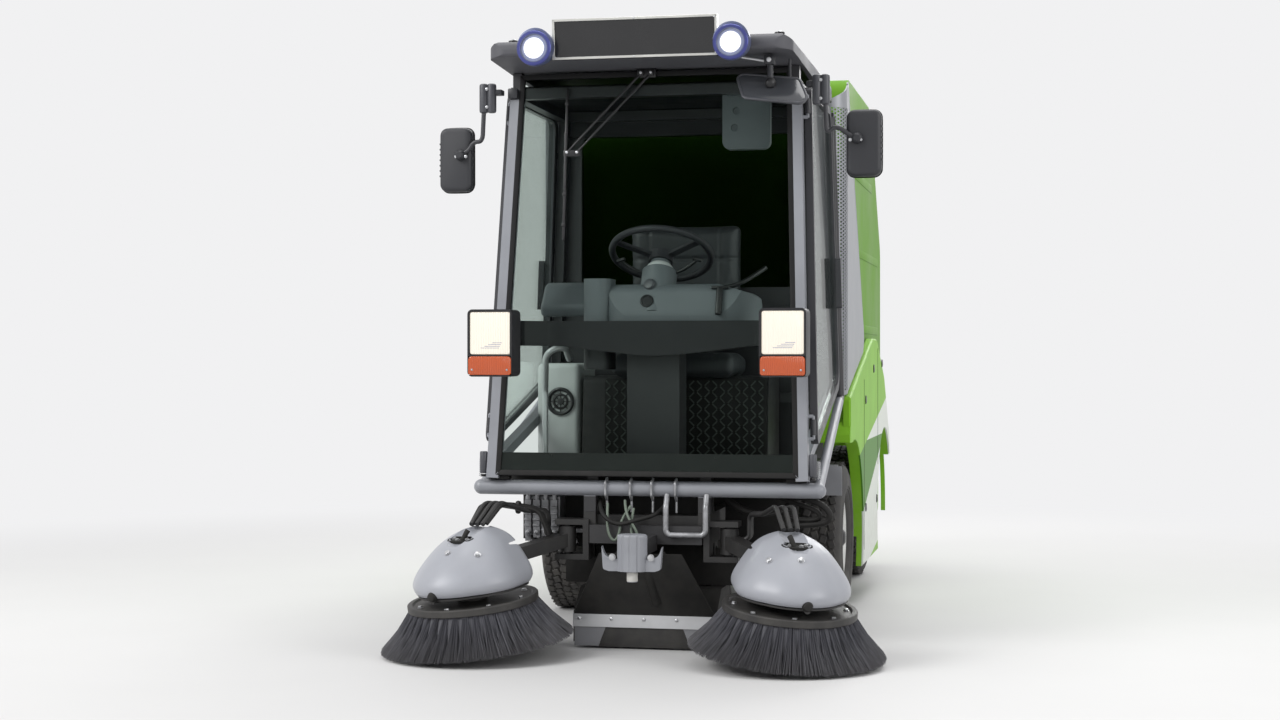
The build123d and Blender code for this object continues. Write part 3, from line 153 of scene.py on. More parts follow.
def plate(points, depth, round_off=0.0, steps=2):
    """A flat outline of (x, y) points, drawn up by depth, with its rims rounded."""
    bm = bmesh.new()
    face = bm.faces.new([bm.verts.new((x, y, 0)) for x, y in points])
    drawn = bmesh.ops.extrude_face_region(bm, geom=[face])
    bmesh.ops.translate(bm, verts=[v for v in drawn["geom"] if isinstance(v, bmesh.types.BMVert)],
                        vec=(0, 0, depth))
    if round_off:
        rims = [e for e in bm.edges if abs(e.verts[0].co.z - e.verts[1].co.z) < 1e-6]
        rounded(bm, rims, round_off, steps)
    return bm


def bar(start, end, radius, far_radius=None, sides=16, round_off=0.0):
    """A round bar between two points."""
    run = Vector(end) - Vector(start)
    bm = drum(radius, run.length, far_radius, sides, round_off)
    bm.transform(Matrix.Translation(start) @ run.to_track_quat("Z", "Y").to_matrix().to_4x4())
    return bm


def hose(points, radius, rings=4, sides=3):
    """A round hose or bent bar along a smooth line with these control points."""
    data = bpy.data.curves.new("line", "CURVE")
    data.dimensions = "3D"
    spline = data.splines.new("NURBS")
    spline.points.add(len(points) - 1)
    for point, place in zip(spline.points, points):
        point.co = (*place, 1)
    spline.order_u = 3
    spline.use_endpoint_u = True
    data.resolution_u = rings
    data.bevel_depth = radius
    data.bevel_resolution = sides
    data.use_fill_caps = True
    holder = bpy.data.objects.new("line", data)
    mesh = bpy.data.meshes.new_from_object(holder)
    bm = bmesh.new()
    bm.from_mesh(mesh)
    bmesh.ops.remove_doubles(bm, verts=bm.verts, dist=1e-6)
    bpy.data.objects.remove(holder)
    bpy.data.curves.remove(data)
    bpy.data.meshes.remove(mesh)
    return bm


def beading(place, points, radius, rings=3, sides=2):
    """A thin round bead along a closed line of points in a place's own axes."""
    line = [place @ Vector(point) for point in points]
    return hose(line + line[:1], radius, rings, sides)


def hex_head(size):
    """Hexagon head on its washer, standing on its own axes. Size is the bolt's shank."""
    bm = drum(size * 1.1, size * 0.16, sides=20)
    head = drum(size * 0.92, size * 0.62, sides=6, round_off=size * 0.06)
    head.transform(Matrix.Translation((0, 0, size * 0.16)))
    mesh = bpy.data.meshes.new("shape")
    head.to_mesh(mesh)
    head.free()
    bm.from_mesh(mesh)
    bpy.data.meshes.remove(mesh)
    return bm


def dome_head(size):
    """Round rivet head standing on its own axes."""
    return turned([(size, 0), (size * 0.92, size * 0.28), (size * 0.6, size * 0.5), (0, size * 0.6)], 16)


class Piece:
    """Shapes gathered into one object, each with its own finish."""

    def __init__(self):
        self.mesh = bmesh.new()
        self.finishes = []

    def add(self, shape, finish, *places):
        """Takes a shape in once for each place."""
        if finish not in self.finishes:
            self.finishes.append(finish)
        bmesh.ops.recalc_face_normals(shape, faces=shape.faces)
        for face in shape.faces:
            face.smooth = True
            face.material_index = self.finishes.index(finish)
        mesh = bpy.data.meshes.new("shape")
        shape.to_mesh(mesh)
        shape.free()
        for place in places or (Matrix.Identity(4),):
            placed = mesh.copy()
            placed.transform(place)
            if place.determinant() < 0:
                placed.flip_normals()
            self.mesh.from_mesh(placed)
            bpy.data.meshes.remove(placed)
        bpy.data.meshes.remove(mesh)
        return self

    def finish(self, name, body, slot, replaces=(), crease=38):
        """The piece as an object that rides on a body."""
        mesh = bpy.data.meshes.new(name)
        self.mesh.to_mesh(mesh)
        self.mesh.free()
        for finish in self.finishes:
            mesh.materials.append(finish)
        mesh.set_sharp_from_angle(angle=math.radians(crease))
        piece = bpy.data.objects.new(name, mesh)
        bpy.context.scene.collection.objects.link(piece)
        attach(piece, body)
        if replaces:
            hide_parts(*replaces)
        return piece


# Materials
def add(tree, kind, inputs=None, out=0, **settings):
    """Adds a shader node with its settings, fills or links its sockets and hands out one of its outputs.

    A Mix node of colours has its share in socket 0, its colours in 6 and 7 and the result in output 2.
    A Map Range node has its value in socket 0, then the range it comes from and the range it goes to."""
    node = tree.nodes.new("ShaderNode" + kind)
    for name, value in settings.items():
        setattr(node, name, value)
    for key, value in (inputs or {}).items():
        if isinstance(value, bpy.types.NodeSocket):
            tree.links.new(value, node.inputs[key])
        else:
            node.inputs[key].default_value = value
    return node.outputs[out] if node.outputs else None


def new_material(name):
    """An empty material, its tree and the object's own coordinates."""
    material = bpy.data.materials.new(name)
    material.use_nodes = True
    tree = material.node_tree
    tree.nodes.clear()
    return material, tree, add(tree, "TexCoord", out="Object")


def coating(name, colour, rough, metal=0.0, patch=0.12, tone=0.08, grain=0.006, depth=0.000005, dust=0.25,
            coat=0.0, edge=0.0, specular=0.5, painted_shade_below=None, painted_shade_behind=None, painted_shade_above=None):
    """A solid finish with patches of tone, a fine grain, dust that settles low down, and rounded edges.

    Patch and grain are sizes in metres and depth is the grain's height. Most real grains are finer than
    6 mm, which is as fine as the render shows. Below or above a height, or behind a place along the machine,
    a part can take a painted shade, near black, where shadow falls on it."""
    material, tree, coords = new_material(name)
    patches = add(tree, "TexNoise", {"Vector": coords, "Scale": 1 / patch, "Detail": 3.0, "Roughness": 0.55})
    base = linear(colour)
    darker = tuple(c * (1 - tone) for c in base[:3]) + (1,)
    lighter = tuple(min(1, c * (1 + tone)) for c in base[:3]) + (1,)
    tones = add(tree, "MapRange", {0: patches, 1: 0.3, 2: 0.7})
    shade = add(tree, "Mix", {0: tones, 6: darker, 7: lighter}, 2, data_type="RGBA")
    # Painted shade: near black below or above a height, or behind a place along the machine, where shadow
    # falls
    for axis, limit, test in (("Z", painted_shade_below, "LESS_THAN"), ("Z", painted_shade_above, "GREATER_THAN"),
                              ("Y", painted_shade_behind, "GREATER_THAN")):
        if limit is not None:
            along = add(tree, "SeparateXYZ", {0: coords}, axis)
            past = add(tree, "Math", {0: along, 1: limit}, operation=test)
            shade = add(tree, "Mix", {0: past, 6: shade, 7: linear("2B2B2E")}, 2, data_type="RGBA")
    if dust:
        height = add(tree, "SeparateXYZ", {0: coords}, "Z")
        low_down = add(tree, "MapRange", {0: height, 1: 0.15, 2: 1.1, 3: dust, 4: 0.0})
        specks = add(tree, "TexNoise", {"Vector": coords, "Scale": 20.0, "Detail": 4.0, "Roughness": 0.55})
        specks = add(tree, "MapRange", {0: specks, 1: 0.35, 2: 0.7, 3: 0.5, 4: 1.0})
        amount = add(tree, "Math", {0: low_down, 1: specks}, operation="MULTIPLY")
        shade = add(tree, "Mix", {0: amount, 6: shade, 7: linear("7E7A72")}, 2, data_type="RGBA")
    grains = add(tree, "TexNoise", {"Vector": coords, "Scale": 1 / grain, "Detail": 2.0, "Roughness": 0.55})
    relief = {"Height": grains, "Distance": depth, "Strength": 1.0}
    if edge:
        relief["Normal"] = add(tree, "Bevel", {"Radius": edge}, samples=3)
    uneven = add(tree, "MapRange", {
        0: patches, 1: 0.3, 2: 0.7, 3: max(0.02, rough - 0.06), 4: min(1, rough + 0.08)})
    shader = add(tree, "BsdfPrincipled", {
        "Base Color": shade, "Metallic": metal, "Normal": add(tree, "Bump", relief), "Roughness": uneven,
        "Coat Weight": coat, "Coat Roughness": 0.12, "Specular IOR Level": specular})
    add(tree, "OutputMaterial", {"Surface": shader})
    return material


def safety_glass(name, tint, rear_tint=None):
    """Thin glass that mirrors only where it is seen from the side, with a darker tint behind the cab's rear.

    It casts no reflection into shadows and scattered light, so the cab inside stays lit."""
    material, tree, coords = new_material(name)
    shade = linear(tint)
    if rear_tint:
        along = add(tree, "SeparateXYZ", {0: coords}, "Y")
        behind = add(tree, "Math", {0: along, 1: CAB_REAR_Y - 0.01}, operation="GREATER_THAN")
        shade = add(tree, "Mix", {0: behind, 6: shade, 7: linear(rear_tint)}, 2, data_type="RGBA")
    shine = add(tree, "Fresnel", {"IOR": 1.33})
    shine = add(tree, "Math", {0: shine, 1: 0.03}, operation="SUBTRACT", use_clamp=True)
    shine = add(tree, "Math", {0: shine, 1: 0.45}, operation="MULTIPLY")
    unlit = add(tree, "Math", {0: add(tree, "LightPath", out="Is Shadow Ray"),
                               1: add(tree, "LightPath", out="Is Diffuse Ray")}, operation="MAXIMUM")
    seen = add(tree, "Math", {0: 1.0, 1: unlit}, operation="SUBTRACT")
    share = add(tree, "Math", {0: shine, 1: seen}, operation="MULTIPLY")
    mirror = add(tree, "BsdfGlossy", {"Color": linear("FFFFFF"), "Roughness": 0.05})
    open_way = add(tree, "BsdfTransparent", {"Color": shade})
    add(tree, "OutputMaterial", {"Surface": add(tree, "MixShader", {0: share, 1: open_way, 2: mirror})})
    return material


def glowing_lens(name, colour, glow, strength, rib=0.008, rib_depth=0.0012):
    """Moulded lamp lens with upright ribs that glows: lit from behind in a lamp that is on, and a faint
    painted glow in a lamp that is off.
    """
    material, tree, coords = new_material(name)
    across = add(tree, "SeparateXYZ", {0: coords}, "X")
    wave = add(tree, "Math", {0: across, 1: math.tau / rib}, operation="MULTIPLY")
    ribs = add(tree, "Bump", {"Height": add(tree, "Math", {0: wave}, operation="SINE"), "Distance": rib_depth,
                              "Strength": 0.6})
    shader = add(tree, "BsdfPrincipled", {
        "Base Color": linear(colour), "Roughness": 0.12, "Emission Color": linear(glow),
        "Emission Strength": strength, "Normal": ribs, "Coat Weight": 0.6})
    add(tree, "OutputMaterial", {"Surface": shader})
    return material


def side_paint(name):
    """Gloss lime paint with the white sweep and the dark green wedge along the flank."""
    material, tree, coords = new_material(name)
    tones = add(tree, "TexNoise", {"Vector": coords, "Scale": 5.0, "Detail": 3.0, "Roughness": 0.55})
    tones = add(tree, "MapRange", {0: tones, 1: 0.3, 2: 0.7})
    shade = add(tree, "Mix", {0: tones, 6: linear("7FB72C"), 7: linear("8AC436")}, 2, data_type="RGBA")
    across, along, height = (add(tree, "SeparateXYZ", {0: coords}, axis) for axis in "XYZ")
    across = add(tree, "Math", {0: across}, operation="ABSOLUTE")
    outside = add(tree, "Math", {0: across, 1: PANEL_FACE_X}, operation="GREATER_THAN")

    def stripe(start, low, low_rise, high, high_rise):
        """One on the panel's outer face between two lines, by their heights at the start and their rises."""
        inside = outside
        for level, rise, test in ((low, low_rise, "GREATER_THAN"), (high, high_rise, "LESS_THAN")):
            run = add(tree, "Math", {0: along, 1: start}, operation="SUBTRACT")
            line = add(tree, "Math", {0: run, 1: rise, 2: level}, operation="MULTIPLY_ADD")
            past = add(tree, "Math", {0: height, 1: line}, operation=test)
            inside = add(tree, "Math", {0: inside, 1: past}, operation="MULTIPLY")
        return inside

    white = stripe(0.29, 0.12, 0.10, 0.60, 0.16)
    wedge = add(tree, "Math", {0: stripe(0.45, 0.40, 0.28, 0.62, 0.0), 1: white}, operation="MULTIPLY")
    shade = add(tree, "Mix", {0: white, 6: shade, 7: linear("E4E8E0")}, 2, data_type="RGBA")
    shade = add(tree, "Mix", {0: wedge, 6: shade, 7: linear("4E8424")}, 2, data_type="RGBA")
    low_down = add(tree, "MapRange", {0: height, 1: 0.14, 2: 0.5, 3: 0.22, 4: 0.0})
    specks = add(tree, "TexNoise", {"Vector": coords, "Scale": 1 / 0.03, "Detail": 5.0, "Roughness": 0.55})
    specks = add(tree, "MapRange", {0: specks, 1: 0.4, 2: 0.65, 3: 0.2, 4: 1.0})
    dust = add(tree, "Math", {0: low_down, 1: specks}, operation="MULTIPLY")
    shade = add(tree, "Mix", {0: dust, 6: shade, 7: linear("A39C90")}, 2, data_type="RGBA")
    peel = add(tree, "TexNoise", {"Vector": coords, "Scale": 1 / 0.006, "Detail": 2.0, "Roughness": 0.55})
    relief = add(tree, "Bump", {"Height": peel, "Distance": 0.00004,
                                "Normal": add(tree, "Bevel", {"Radius": 0.004}, samples=3)})
    shader = add(tree, "BsdfPrincipled", {
        "Base Color": shade, "Roughness": 0.42, "Specular IOR Level": 0.12, "Normal": relief})
    add(tree, "OutputMaterial", {"Surface": shader})
    return material


def bristle_fibre(name, place):
    """Black polypropylene fibre: matt strands that run out from the brush's axis, dusty at their tips."""
    material, tree, coords = new_material(name)
    location, turn, _ = place.decompose()
    local = add(tree, "Mapping", {"Vector": coords, "Location": location, "Rotation": turn.to_euler("XYZ")},
                vector_type="TEXTURE")
    across, along, height = (add(tree, "SeparateXYZ", {0: local}, axis) for axis in "XYZ")
    angle = add(tree, "Math", {0: along, 1: across}, operation="ARCTAN2")
    strands = add(tree, "TexNoise", {"W": angle, "Scale": 60.0, "Detail": 4.0, "Roughness": 0.75},
                  noise_dimensions="1D")
    strands = add(tree, "MapRange", {0: strands, 1: 0.3, 2: 0.7})
    shade = add(tree, "Mix", {0: strands, 6: linear("242428"), 7: linear("67676E")}, 2, data_type="RGBA")
    dusty = add(tree, "MapRange", {0: height, 1: 0.0, 2: 0.09, 3: 0.25, 4: 0.0})
    shade = add(tree, "Mix", {0: dusty, 6: shade, 7: linear("75726E")}, 2, data_type="RGBA")
    shader = add(tree, "BsdfPrincipled", {"Base Color": shade, "Roughness": 0.62, "Specular IOR Level": 0.35})
    add(tree, "OutputMaterial", {"Surface": shader})
    return material


def mirror_face(name):
    """Silvered glass of a driving mirror, all but even."""
    material, tree, coords = new_material(name)
    tones = add(tree, "TexNoise", {"Vector": coords, "Scale": 5.0, "Detail": 3.0, "Roughness": 0.55})
    shade = add(tree, "Mix", {0: tones, 6: linear("D8DCE0"), 7: linear("E6E8EA")}, 2, data_type="RGBA")
    shader = add(tree, "BsdfPrincipled", {"Base Color": shade, "Metallic": 1.0, "Roughness": 0.03})
    add(tree, "OutputMaterial", {"Surface": shader})
    return material


def seen_rays(tree):
    """One for rays of the camera and for those that mirror or pass glass."""
    seen = add(tree, "LightPath", out="Is Camera Ray")
    for ray in ("Is Glossy Ray", "Is Transmission Ray"):
        seen = add(tree, "Math", {0: seen, 1: add(tree, "LightPath", out=ray)}, operation="MAXIMUM")
    return seen


def floor_surface(name):
    """Pale studio floor, a fine rolled paint that runs into the background far out."""
    material, tree, coords = new_material(name)
    tones = add(tree, "TexNoise", {"Vector": coords, "Scale": 1 / 0.6, "Detail": 3.0, "Roughness": 0.55})
    shade = add(tree, "Mix", {0: tones, 6: linear("D6D5D4"), 7: linear("DAD9D8")}, 2, data_type="RGBA")
    near = add(tree, "BsdfPrincipled", {"Base Color": shade, "Roughness": 0.7, "Specular IOR Level": 0.2})
    away = add(tree, "VectorMath", {0: coords}, "Value", operation="LENGTH")
    fade = add(tree, "MapRange", {0: away, 1: 2.6, 2: 5.5}, interpolation_type="SMOOTHSTEP")
    share = add(tree, "Math", {0: fade, 1: seen_rays(tree)}, operation="MULTIPLY")
    far = add(tree, "Emission", {"Color": linear(BACKGROUND), "Strength": 1.0})
    add(tree, "OutputMaterial", {"Surface": add(tree, "MixShader", {0: share, 1: near, 2: far})})
    return material


# The finish of every material slot
FINISHES = {
    # Frame steel, black two-part paint over welded plate: dark, a little dusty, soft edges
    "chassis_steel": coating("black_painted_steel", "1B1B1D", 0.5, dust=0.12, edge=0.0015),
    # Cast and forged axle parts, painted black and dulled by road dirt
    "axle_iron": coating("painted_cast_iron", "1D1C1B", 0.6, grain=0.007, depth=0.0001, dust=0.12),
    # Structural plastic, moulded with a fine leather grain that dulls its highlights
    "black_plastic": coating("grained_black_plastic", "232326", 0.5, edge=0.0015, specular=0.35),
    # Powder-coated steel tube, satin grey, with painted shade, near black, at its foot, behind the posts and
    # over the header
    "post_grey": coating("grey_powder_coat", "92949A", 0.36, tone=0.05, edge=0.002, dust=0.08,
                         painted_shade_below=0.491, painted_shade_behind=-0.32, painted_shade_above=1.812),
    # Extruded rubber, all but without shine
    "black_rubber": coating("extruded_rubber", "131314", 0.65, depth=0.0001, specular=0.3, dust=0.1),
    # Tempered side glass, nearly colourless, and tinted darker in the rear window
    "clear_glass": safety_glass("tinted_safety_glass", "F0F4F2", "87918B"),
    # Rotomoulded polyethylene roof, matt and slightly uneven
    "roof_plastic": coating("rotomoulded_roof", "525257", 0.55, patch=0.25, tone=0.06, grain=0.004,
                            depth=0.00005, edge=0.004, dust=0.0),
    # Acrylic sheet, gloss black and flat
    "sign_black": coating("gloss_black_sheet", "131315", 0.22, tone=0.05, dust=0.0, coat=0.4),
    # Anodised aluminium lamp body, blue-grey with a soft metal shine
    "lamp_housing": coating("anodised_lamp_body", "5B6280", 0.4, metal=0.3, tone=0.06, dust=0.0),
    # Calendered vinyl over foam, embossed with a shallow grain
    "seat_vinyl": coating("stitched_seat_vinyl", "35373A", 0.5, grain=0.007, depth=0.00008, dust=0.0),
    # Moulded polypropylene, mid grey, with painted shade, near black, below the shelf
    "dash_plastic": coating("moulded_dash", "676C70", 0.5, edge=0.002, dust=0.1, painted_shade_below=0.985),
    # Fluted polycarbonate over a lit bulb, warm white
    "lamp_glass": glowing_lens("lit_headlamp_lens", "CFCBC0", "FFF3E0", 0.46),
    # Dyed acrylic with finer flutes, unlit, with a faint painted glow
    "amber_lens": glowing_lens("amber_lens", "BF4E14", "D8601C", 0.06, rib=0.006),
    # Stainless steel brushed along the strip, bright and softly blurred
    "bright_steel": coating("brushed_stainless", "D3D4D6", 0.34, metal=0.55, dust=0.1, edge=0.001),
    # Black enamel on bent wire, smooth and satin
    "wiper_black": coating("wiper_paint", "1C1C1E", 0.4, dust=0.0),
    # Moulded ABS shell with a spark-eroded grain
    "mirror_plastic": coating("mirror_shell_plastic", "2C2D31", 0.5, depth=0.00004, dust=0.0, edge=0.002),
    # Sprayed lime lacquer with its white and green stripes
    "lime_paint": side_paint("lime_gloss_paint"),
    # Vacuum-formed polyethylene, matt grey and dusty
    "fender_grey": coating("fender_plastic", "8E8F94", 0.5, dust=0.2, edge=0.0015),
    # Galvanised sheet under a thin grey coat, with a weak metal shine
    "screen_grey": coating("galvanised_screen", "9A9CA0", 0.42, metal=0.35, dust=0.05),
    # Dyed acrylic tail lens, unlit, with a faint painted glow
    "red_lens": glowing_lens("red_lens", "A81414", "C01818", 0.1),
    # Sand-cast iron under grey paint, coarse to the eye, with painted shade, near black, behind the tube
    "cast_grey": coating("grey_painted_casting", "989AA0", 0.42, grain=0.008, depth=0.00008, dust=0.1,
                         painted_shade_behind=-1.272),
    # Zinc-plated fittings, each a shade apart
    "fitting_steel": coating("plated_fittings", "A3A4A7", 0.38, metal=0.5, patch=0.03, tone=0.3, edge=0.001),
    # Integral foam on the steering wheel's rim, matt with open pores
    "wheel_rim_plastic": coating("steering_rim_foam", "2B2B30", 0.55, depth=0.0002, dust=0.0),
    # Sprayed green enamel on folded sheet, satin, the lime green muted darker as painted shade
    "hopper_green": coating("green_hopper_paint", "6B9A33", 0.45, patch=0.3, tone=0.05, dust=0.1, edge=0.003,
                            specular=0.06),
    # Ground and chromed rod, a sharp mirror
    "chrome_rod": coating("hard_chrome", "D5D6D8", 0.12, metal=1.0, tone=0.02, dust=0.0),
    # Black enamel on the doors' tube frames
    "door_black": coating("door_frame_paint", "37373B", 0.42, dust=0.1, edge=0.0015),
    # Block that the bristles are set in
    "bristle": coating("bristle_block", "26262A", 0.7),
    # Moulded ABS with a fine spark-eroded grain: pale blue-grey and satin
    "cover_plastic": coating("blue_grey_abs", "A6A8AF", 0.36, patch=0.09, tone=0.03, dust=0.08),
    # Vulcanised tread rubber, matt and grey with dust
    "tyre_rubber": coating("tyre_rubber", "26262A", 0.72, grain=0.004, depth=0.0002, dust=0.35,
                           specular=0.35),
    # Stove enamel on pressed rims, white and glossy under the dust
    "rim_white": coating("white_wheel_enamel", "E6E6E4", 0.35, dust=0.35, coat=0.2, edge=0.001),
}
RUBBER = FINISHES["black_rubber"]
BLACK_ENAMEL = FINISHES["wiper_black"]
BLACK_PLASTIC = FINISHES["black_plastic"]
FITTING_STEEL = FINISHES["fitting_steel"]
MIRROR_SHELL = FINISHES["mirror_plastic"]
# Silvered float glass, a clean mirror
MIRROR_GLASS = mirror_face("silvered_mirror")
# Laminated float glass, all but colourless
WINDSCREEN = safety_glass("laminated_windscreen", "EFF3F1")
# Lacquered ABS, dark and glossy
MIRROR_BACK = coating("gloss_mirror_back", "45474B", 0.18, dust=0.0, coat=0.6)
# Glass-filled nylon, dark grey and satin
CLAMP_GREY = coating("dark_grey_clamp", "4A4B50", 0.4, dust=0.0, edge=0.001)
# Ceramic ink fired on the glass's edge
SMOKED_BAND = coating("printed_black_band", "0B0D0C", 0.3, dust=0.0)
# Cable sheath of soft vinyl, grey-green
CABLE_GREY = coating("grey_green_cable", "6F7B6E", 0.5, dust=0.1)
# Moulded ABS of the cab's panels, pale and matt
PANEL_GREY = coating("pale_grey_abs", "D2D4D4", 0.45, dust=0.0, edge=0.002)
# Studs of the floor mat, worn paler than its ground
MAT_RUBBER = coating("mat_stud_rubber", "4A504C", 0.6, dust=0.0)
# Zinc-plated bolts, bright metal
NUT_STEEL = coating("zinc_plated_bolts", "C3C4C6", 0.3, metal=0.85, tone=0.1, dust=0.1)
# Clear lens over lit diodes, cold white
LED_WHITE = glowing_lens("lit_lamp_lens", "E4E8F2", "FFFFFF", 0.5, rib=0.02, rib_depth=0.0004)
# Frosted rim of that lens
LENS_RIM = coating("clouded_lens_rim", "8F96B4", 0.25, dust=0.0)
# Anodised aluminium ring, violet-blue
LAMP_BLUE = coating("violet_anodised_ring", "454A86", 0.3, metal=0.5, dust=0.0)
# Plastic with a vapour-deposited mirror of aluminium
REFLECTOR = coating("vacuum_chromed_reflector", "E2E3E6", 0.08, metal=1.0, tone=0.02, dust=0.0)
# Extruded aluminium, brushed
SIGN_FRAME = coating("brushed_aluminium_frame", "C9C9C4", 0.35, metal=0.6, dust=0.0)
# Machined nylon, off-white and waxy
WHITE_NYLON = coating("white_nylon", "DAD8D2", 0.45, dust=0.2)
# Sheet rubber that sweeps the ground, dusty
FLAP_RUBBER = coating("flap_rubber", "202022", 0.7, dust=0.2)


def dress_nodes():
    """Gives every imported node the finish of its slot."""
    slots = {part["node"]: part["material_slot"] for part in frame["record"]["subparts"]}
    for name, node in frame["nodes"].items():
        node.data.materials.clear()
        node.data.materials.append(FINISHES[slots[name]])


# Side brushes. Each disc leans forward and outward by the same angle.
BRUSH_X, BRUSH_Y, BRUSH_Z = 0.493, -1.358, 0.04307
BRUSH_LEAN = 5
BRUSH_PLACE = at(BRUSH_X, BRUSH_Y, BRUSH_Z, rx=BRUSH_LEAN, ry=BRUSH_LEAN)
BRUSH_PLACES = {side: over @ BRUSH_PLACE for side, over in OVER.items()}
BRUSH_TOP = 0.144
BRUSH_RIM = 0.208
COVER_TURN = 22
TUFTS = 40
STRAND_RINGS = [
    # root radius, root height, tip radius, strands in a tuft
    (0.196, 0.122, 0.306, 96),
    (0.176, 0.122, 0.286, 74),
    (0.150, 0.122, 0.258, 52),
]
STRAND_RADIUS = 0.0013
STRAND_TIP_SIZE = 0.45
TUFT_FORMS = 5


def strand(bm, root, middle, tip):
    """One three-sided bristle that tapers to its tip."""
    turn = (middle - root).to_track_quat("Z", "Y").to_matrix().to_4x4()
    place = Matrix.Translation(root) @ turn
    ring = bmesh.ops.create_circle(bm, segments=3, radius=STRAND_RADIUS, matrix=place)
    edges = list({e for v in ring["verts"] for e in v.link_edges})
    centre = root
    for place, size in ((middle, 1.0), (tip, STRAND_TIP_SIZE)):
        drawn = bmesh.ops.extrude_edge_only(bm, edges=edges)["geom"]
        verts = [v for v in drawn if isinstance(v, bmesh.types.BMVert)]
        edges = [e for e in drawn if isinstance(e, bmesh.types.BMEdge)]
        bmesh.ops.translate(bm, verts=verts, vec=place - centre)
        if size != 1.0:
            bmesh.ops.scale(bm, verts=verts, vec=(size, size, size), space=Matrix.Translation(-place))
        centre = place


def tuft(seed):
    """All bristles that leave the disc within one tuft's share of the circle."""
    rng = random.Random(seed)
    bm = bmesh.new()
    share = math.tau / TUFTS
    for root_radius, root_z, tip_radius, count in STRAND_RINGS:
        for _ in range(count):
            lean = rng.uniform(-0.5, 0.5)
            root_angle = lean * share * 0.46
            tip_angle = lean * share * 1.05 + rng.gauss(0, 0.007)
            root_r = root_radius + rng.uniform(-0.009, 0.009)
            tip_r = tip_radius + rng.uniform(-0.018, 0.0012)
            middle_r = root_r + (tip_r - root_r) * 0.44
            middle_angle = (root_angle + tip_angle) / 2
            places = ((root_r, root_angle, root_z), (middle_r, middle_angle, root_z * 0.52),
                      (tip_r, tip_angle, rng.uniform(0.000, 0.008)))
            strand(bm, *(Vector((r * math.cos(angle), r * math.sin(angle), z)) for r, angle, z in places))
    return bm


def side_brush(side):
    """Disc with its bolts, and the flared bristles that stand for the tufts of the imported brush."""
    place = BRUSH_PLACES[side]
    out = SIDES[side]
    fibre = bristle_fibre(f"polypropylene_fibre_{side}",
                          at(out * BRUSH_X, BRUSH_Y, BRUSH_Z, rx=BRUSH_LEAN, ry=out * BRUSH_LEAN))
    bristles = Piece()
    for variant in range(TUFT_FORMS):
        places = [place @ at(rz=360 / TUFTS * i) for i in range(variant, TUFTS, TUFT_FORMS)]
        bristles.add(tuft(variant), fibre, *places)
    core = turned([(0.142, 0.122), (0.200, 0.121), (0.228, 0.075), (0.258, 0.022), (0.200, 0.022),
                   (0.150, 0.08)], 80, closed=True)
    bristles.add(core, fibre, place)
    bristles.finish(f"brush_{side}_bristles", f"brush_{side}", "bristle", replaces=[f"brush_{side}"])
    disc = Piece()
    disc.add(turned([(0.0125, BRUSH_TOP + 0.014), (0.044, BRUSH_TOP + 0.014), (0.046, BRUSH_TOP + 0.012),
                     (0.047, BRUSH_TOP - 0.004), (0.142, BRUSH_TOP - 0.004), (0.186, BRUSH_TOP - 0.006),
                     (0.192, BRUSH_TOP), (0.205, BRUSH_TOP), (BRUSH_RIM, BRUSH_TOP - 0.003),
                     (BRUSH_RIM, BRUSH_TOP - 0.021), (0.206, BRUSH_TOP - 0.023), (0.196, BRUSH_TOP - 0.023),
                     (0.142, BRUSH_TOP - 0.018), (0.0125, BRUSH_TOP - 0.012)], 96, closed=True),
             BLACK_PLASTIC, place)
    disc.add(hex_head(0.0085), NUT_STEEL,
             *(place @ at(rz=45 * i + 12) @ at(x=0.172, z=BRUSH_TOP - 0.006) for i in range(8)))
    disc.finish(f"brush_{side}_disc", f"brush_{side}", "bristle")


def on_surface(node, origin, direction):
    """A place on a node's surface where a ray meets it, with Z along the surface's normal."""
    hit, spot, normal, _ = frame["nodes"][node].ray_cast(Vector(origin), Vector(direction))
    if not hit:
        raise ValueError(f"no surface on {node} there")
    return Matrix.Translation(spot) @ normal.to_track_quat("Z", "Y").to_matrix().to_4x4()


def brush_cover_details(side):
    """Bolts, hose grommet and nub of the domed cover over the brush motor."""
    straight = BRUSH_PLACES[side]
    turned_place = straight @ at(rz=COVER_TURN)
    down = straight.to_3x3() @ Vector((0, 0, -1))
    piece = Piece()
    for x in (-0.062, 0.034):
        origin = straight @ Vector((x, -0.098, 0.6))
        bolt = on_surface(f"brush_cover_{side}", origin, down)
        piece.add(hex_head(0.0095), NUT_STEEL, bolt)
    trough = turned_place @ at(y=-0.026, z=0.328, rx=10.6)
    grommet = plate(oblong(0.050, 0.022, 0.0215), 0.006, 0.002)
    piece.add(grommet, RUBBER, trough)
    lip = [(x, y, 0.007) for x, y in oblong(0.047, 0.019, 0.0185, 3)]
    piece.add(beading(trough, lip, 0.0028, 2), RUBBER)
    for x, y, turn in ((-0.022, 0.002, 20), (0.012, -0.004, -30), (0.030, 0.006, 50)):
        piece.add(hex_head(0.007), FITTING_STEEL, trough @ at(x, y, 0.005, rz=turn))
    stub = [(-0.008, -0.030, 0.326), (-0.014, -0.026, 0.345), (-0.022, -0.014, 0.362)]
    piece.add(hose([turned_place @ Vector(p) for p in stub], 0.0085, 6, 4), RUBBER)
    piece.add(turned([(0.0165, 0), (0.0165, 0.012), (0.012, 0.02), (0, 0.023)], 24), RUBBER,
              turned_place @ at(y=-0.184, z=0.186, rx=90))
    piece.finish(f"brush_cover_{side}_fittings", f"brush_arm_{side}", "cover_plastic")


# Wheels
TYRE_RADIUS = 0.280
TYRE_WIDTH = 0.155
RIM_RADIUS = 0.152
TREAD_BLOCKS = 54
TREAD_ROWS = (-0.045, -0.015, 0.015, 0.045)
TREAD_TURN = 18


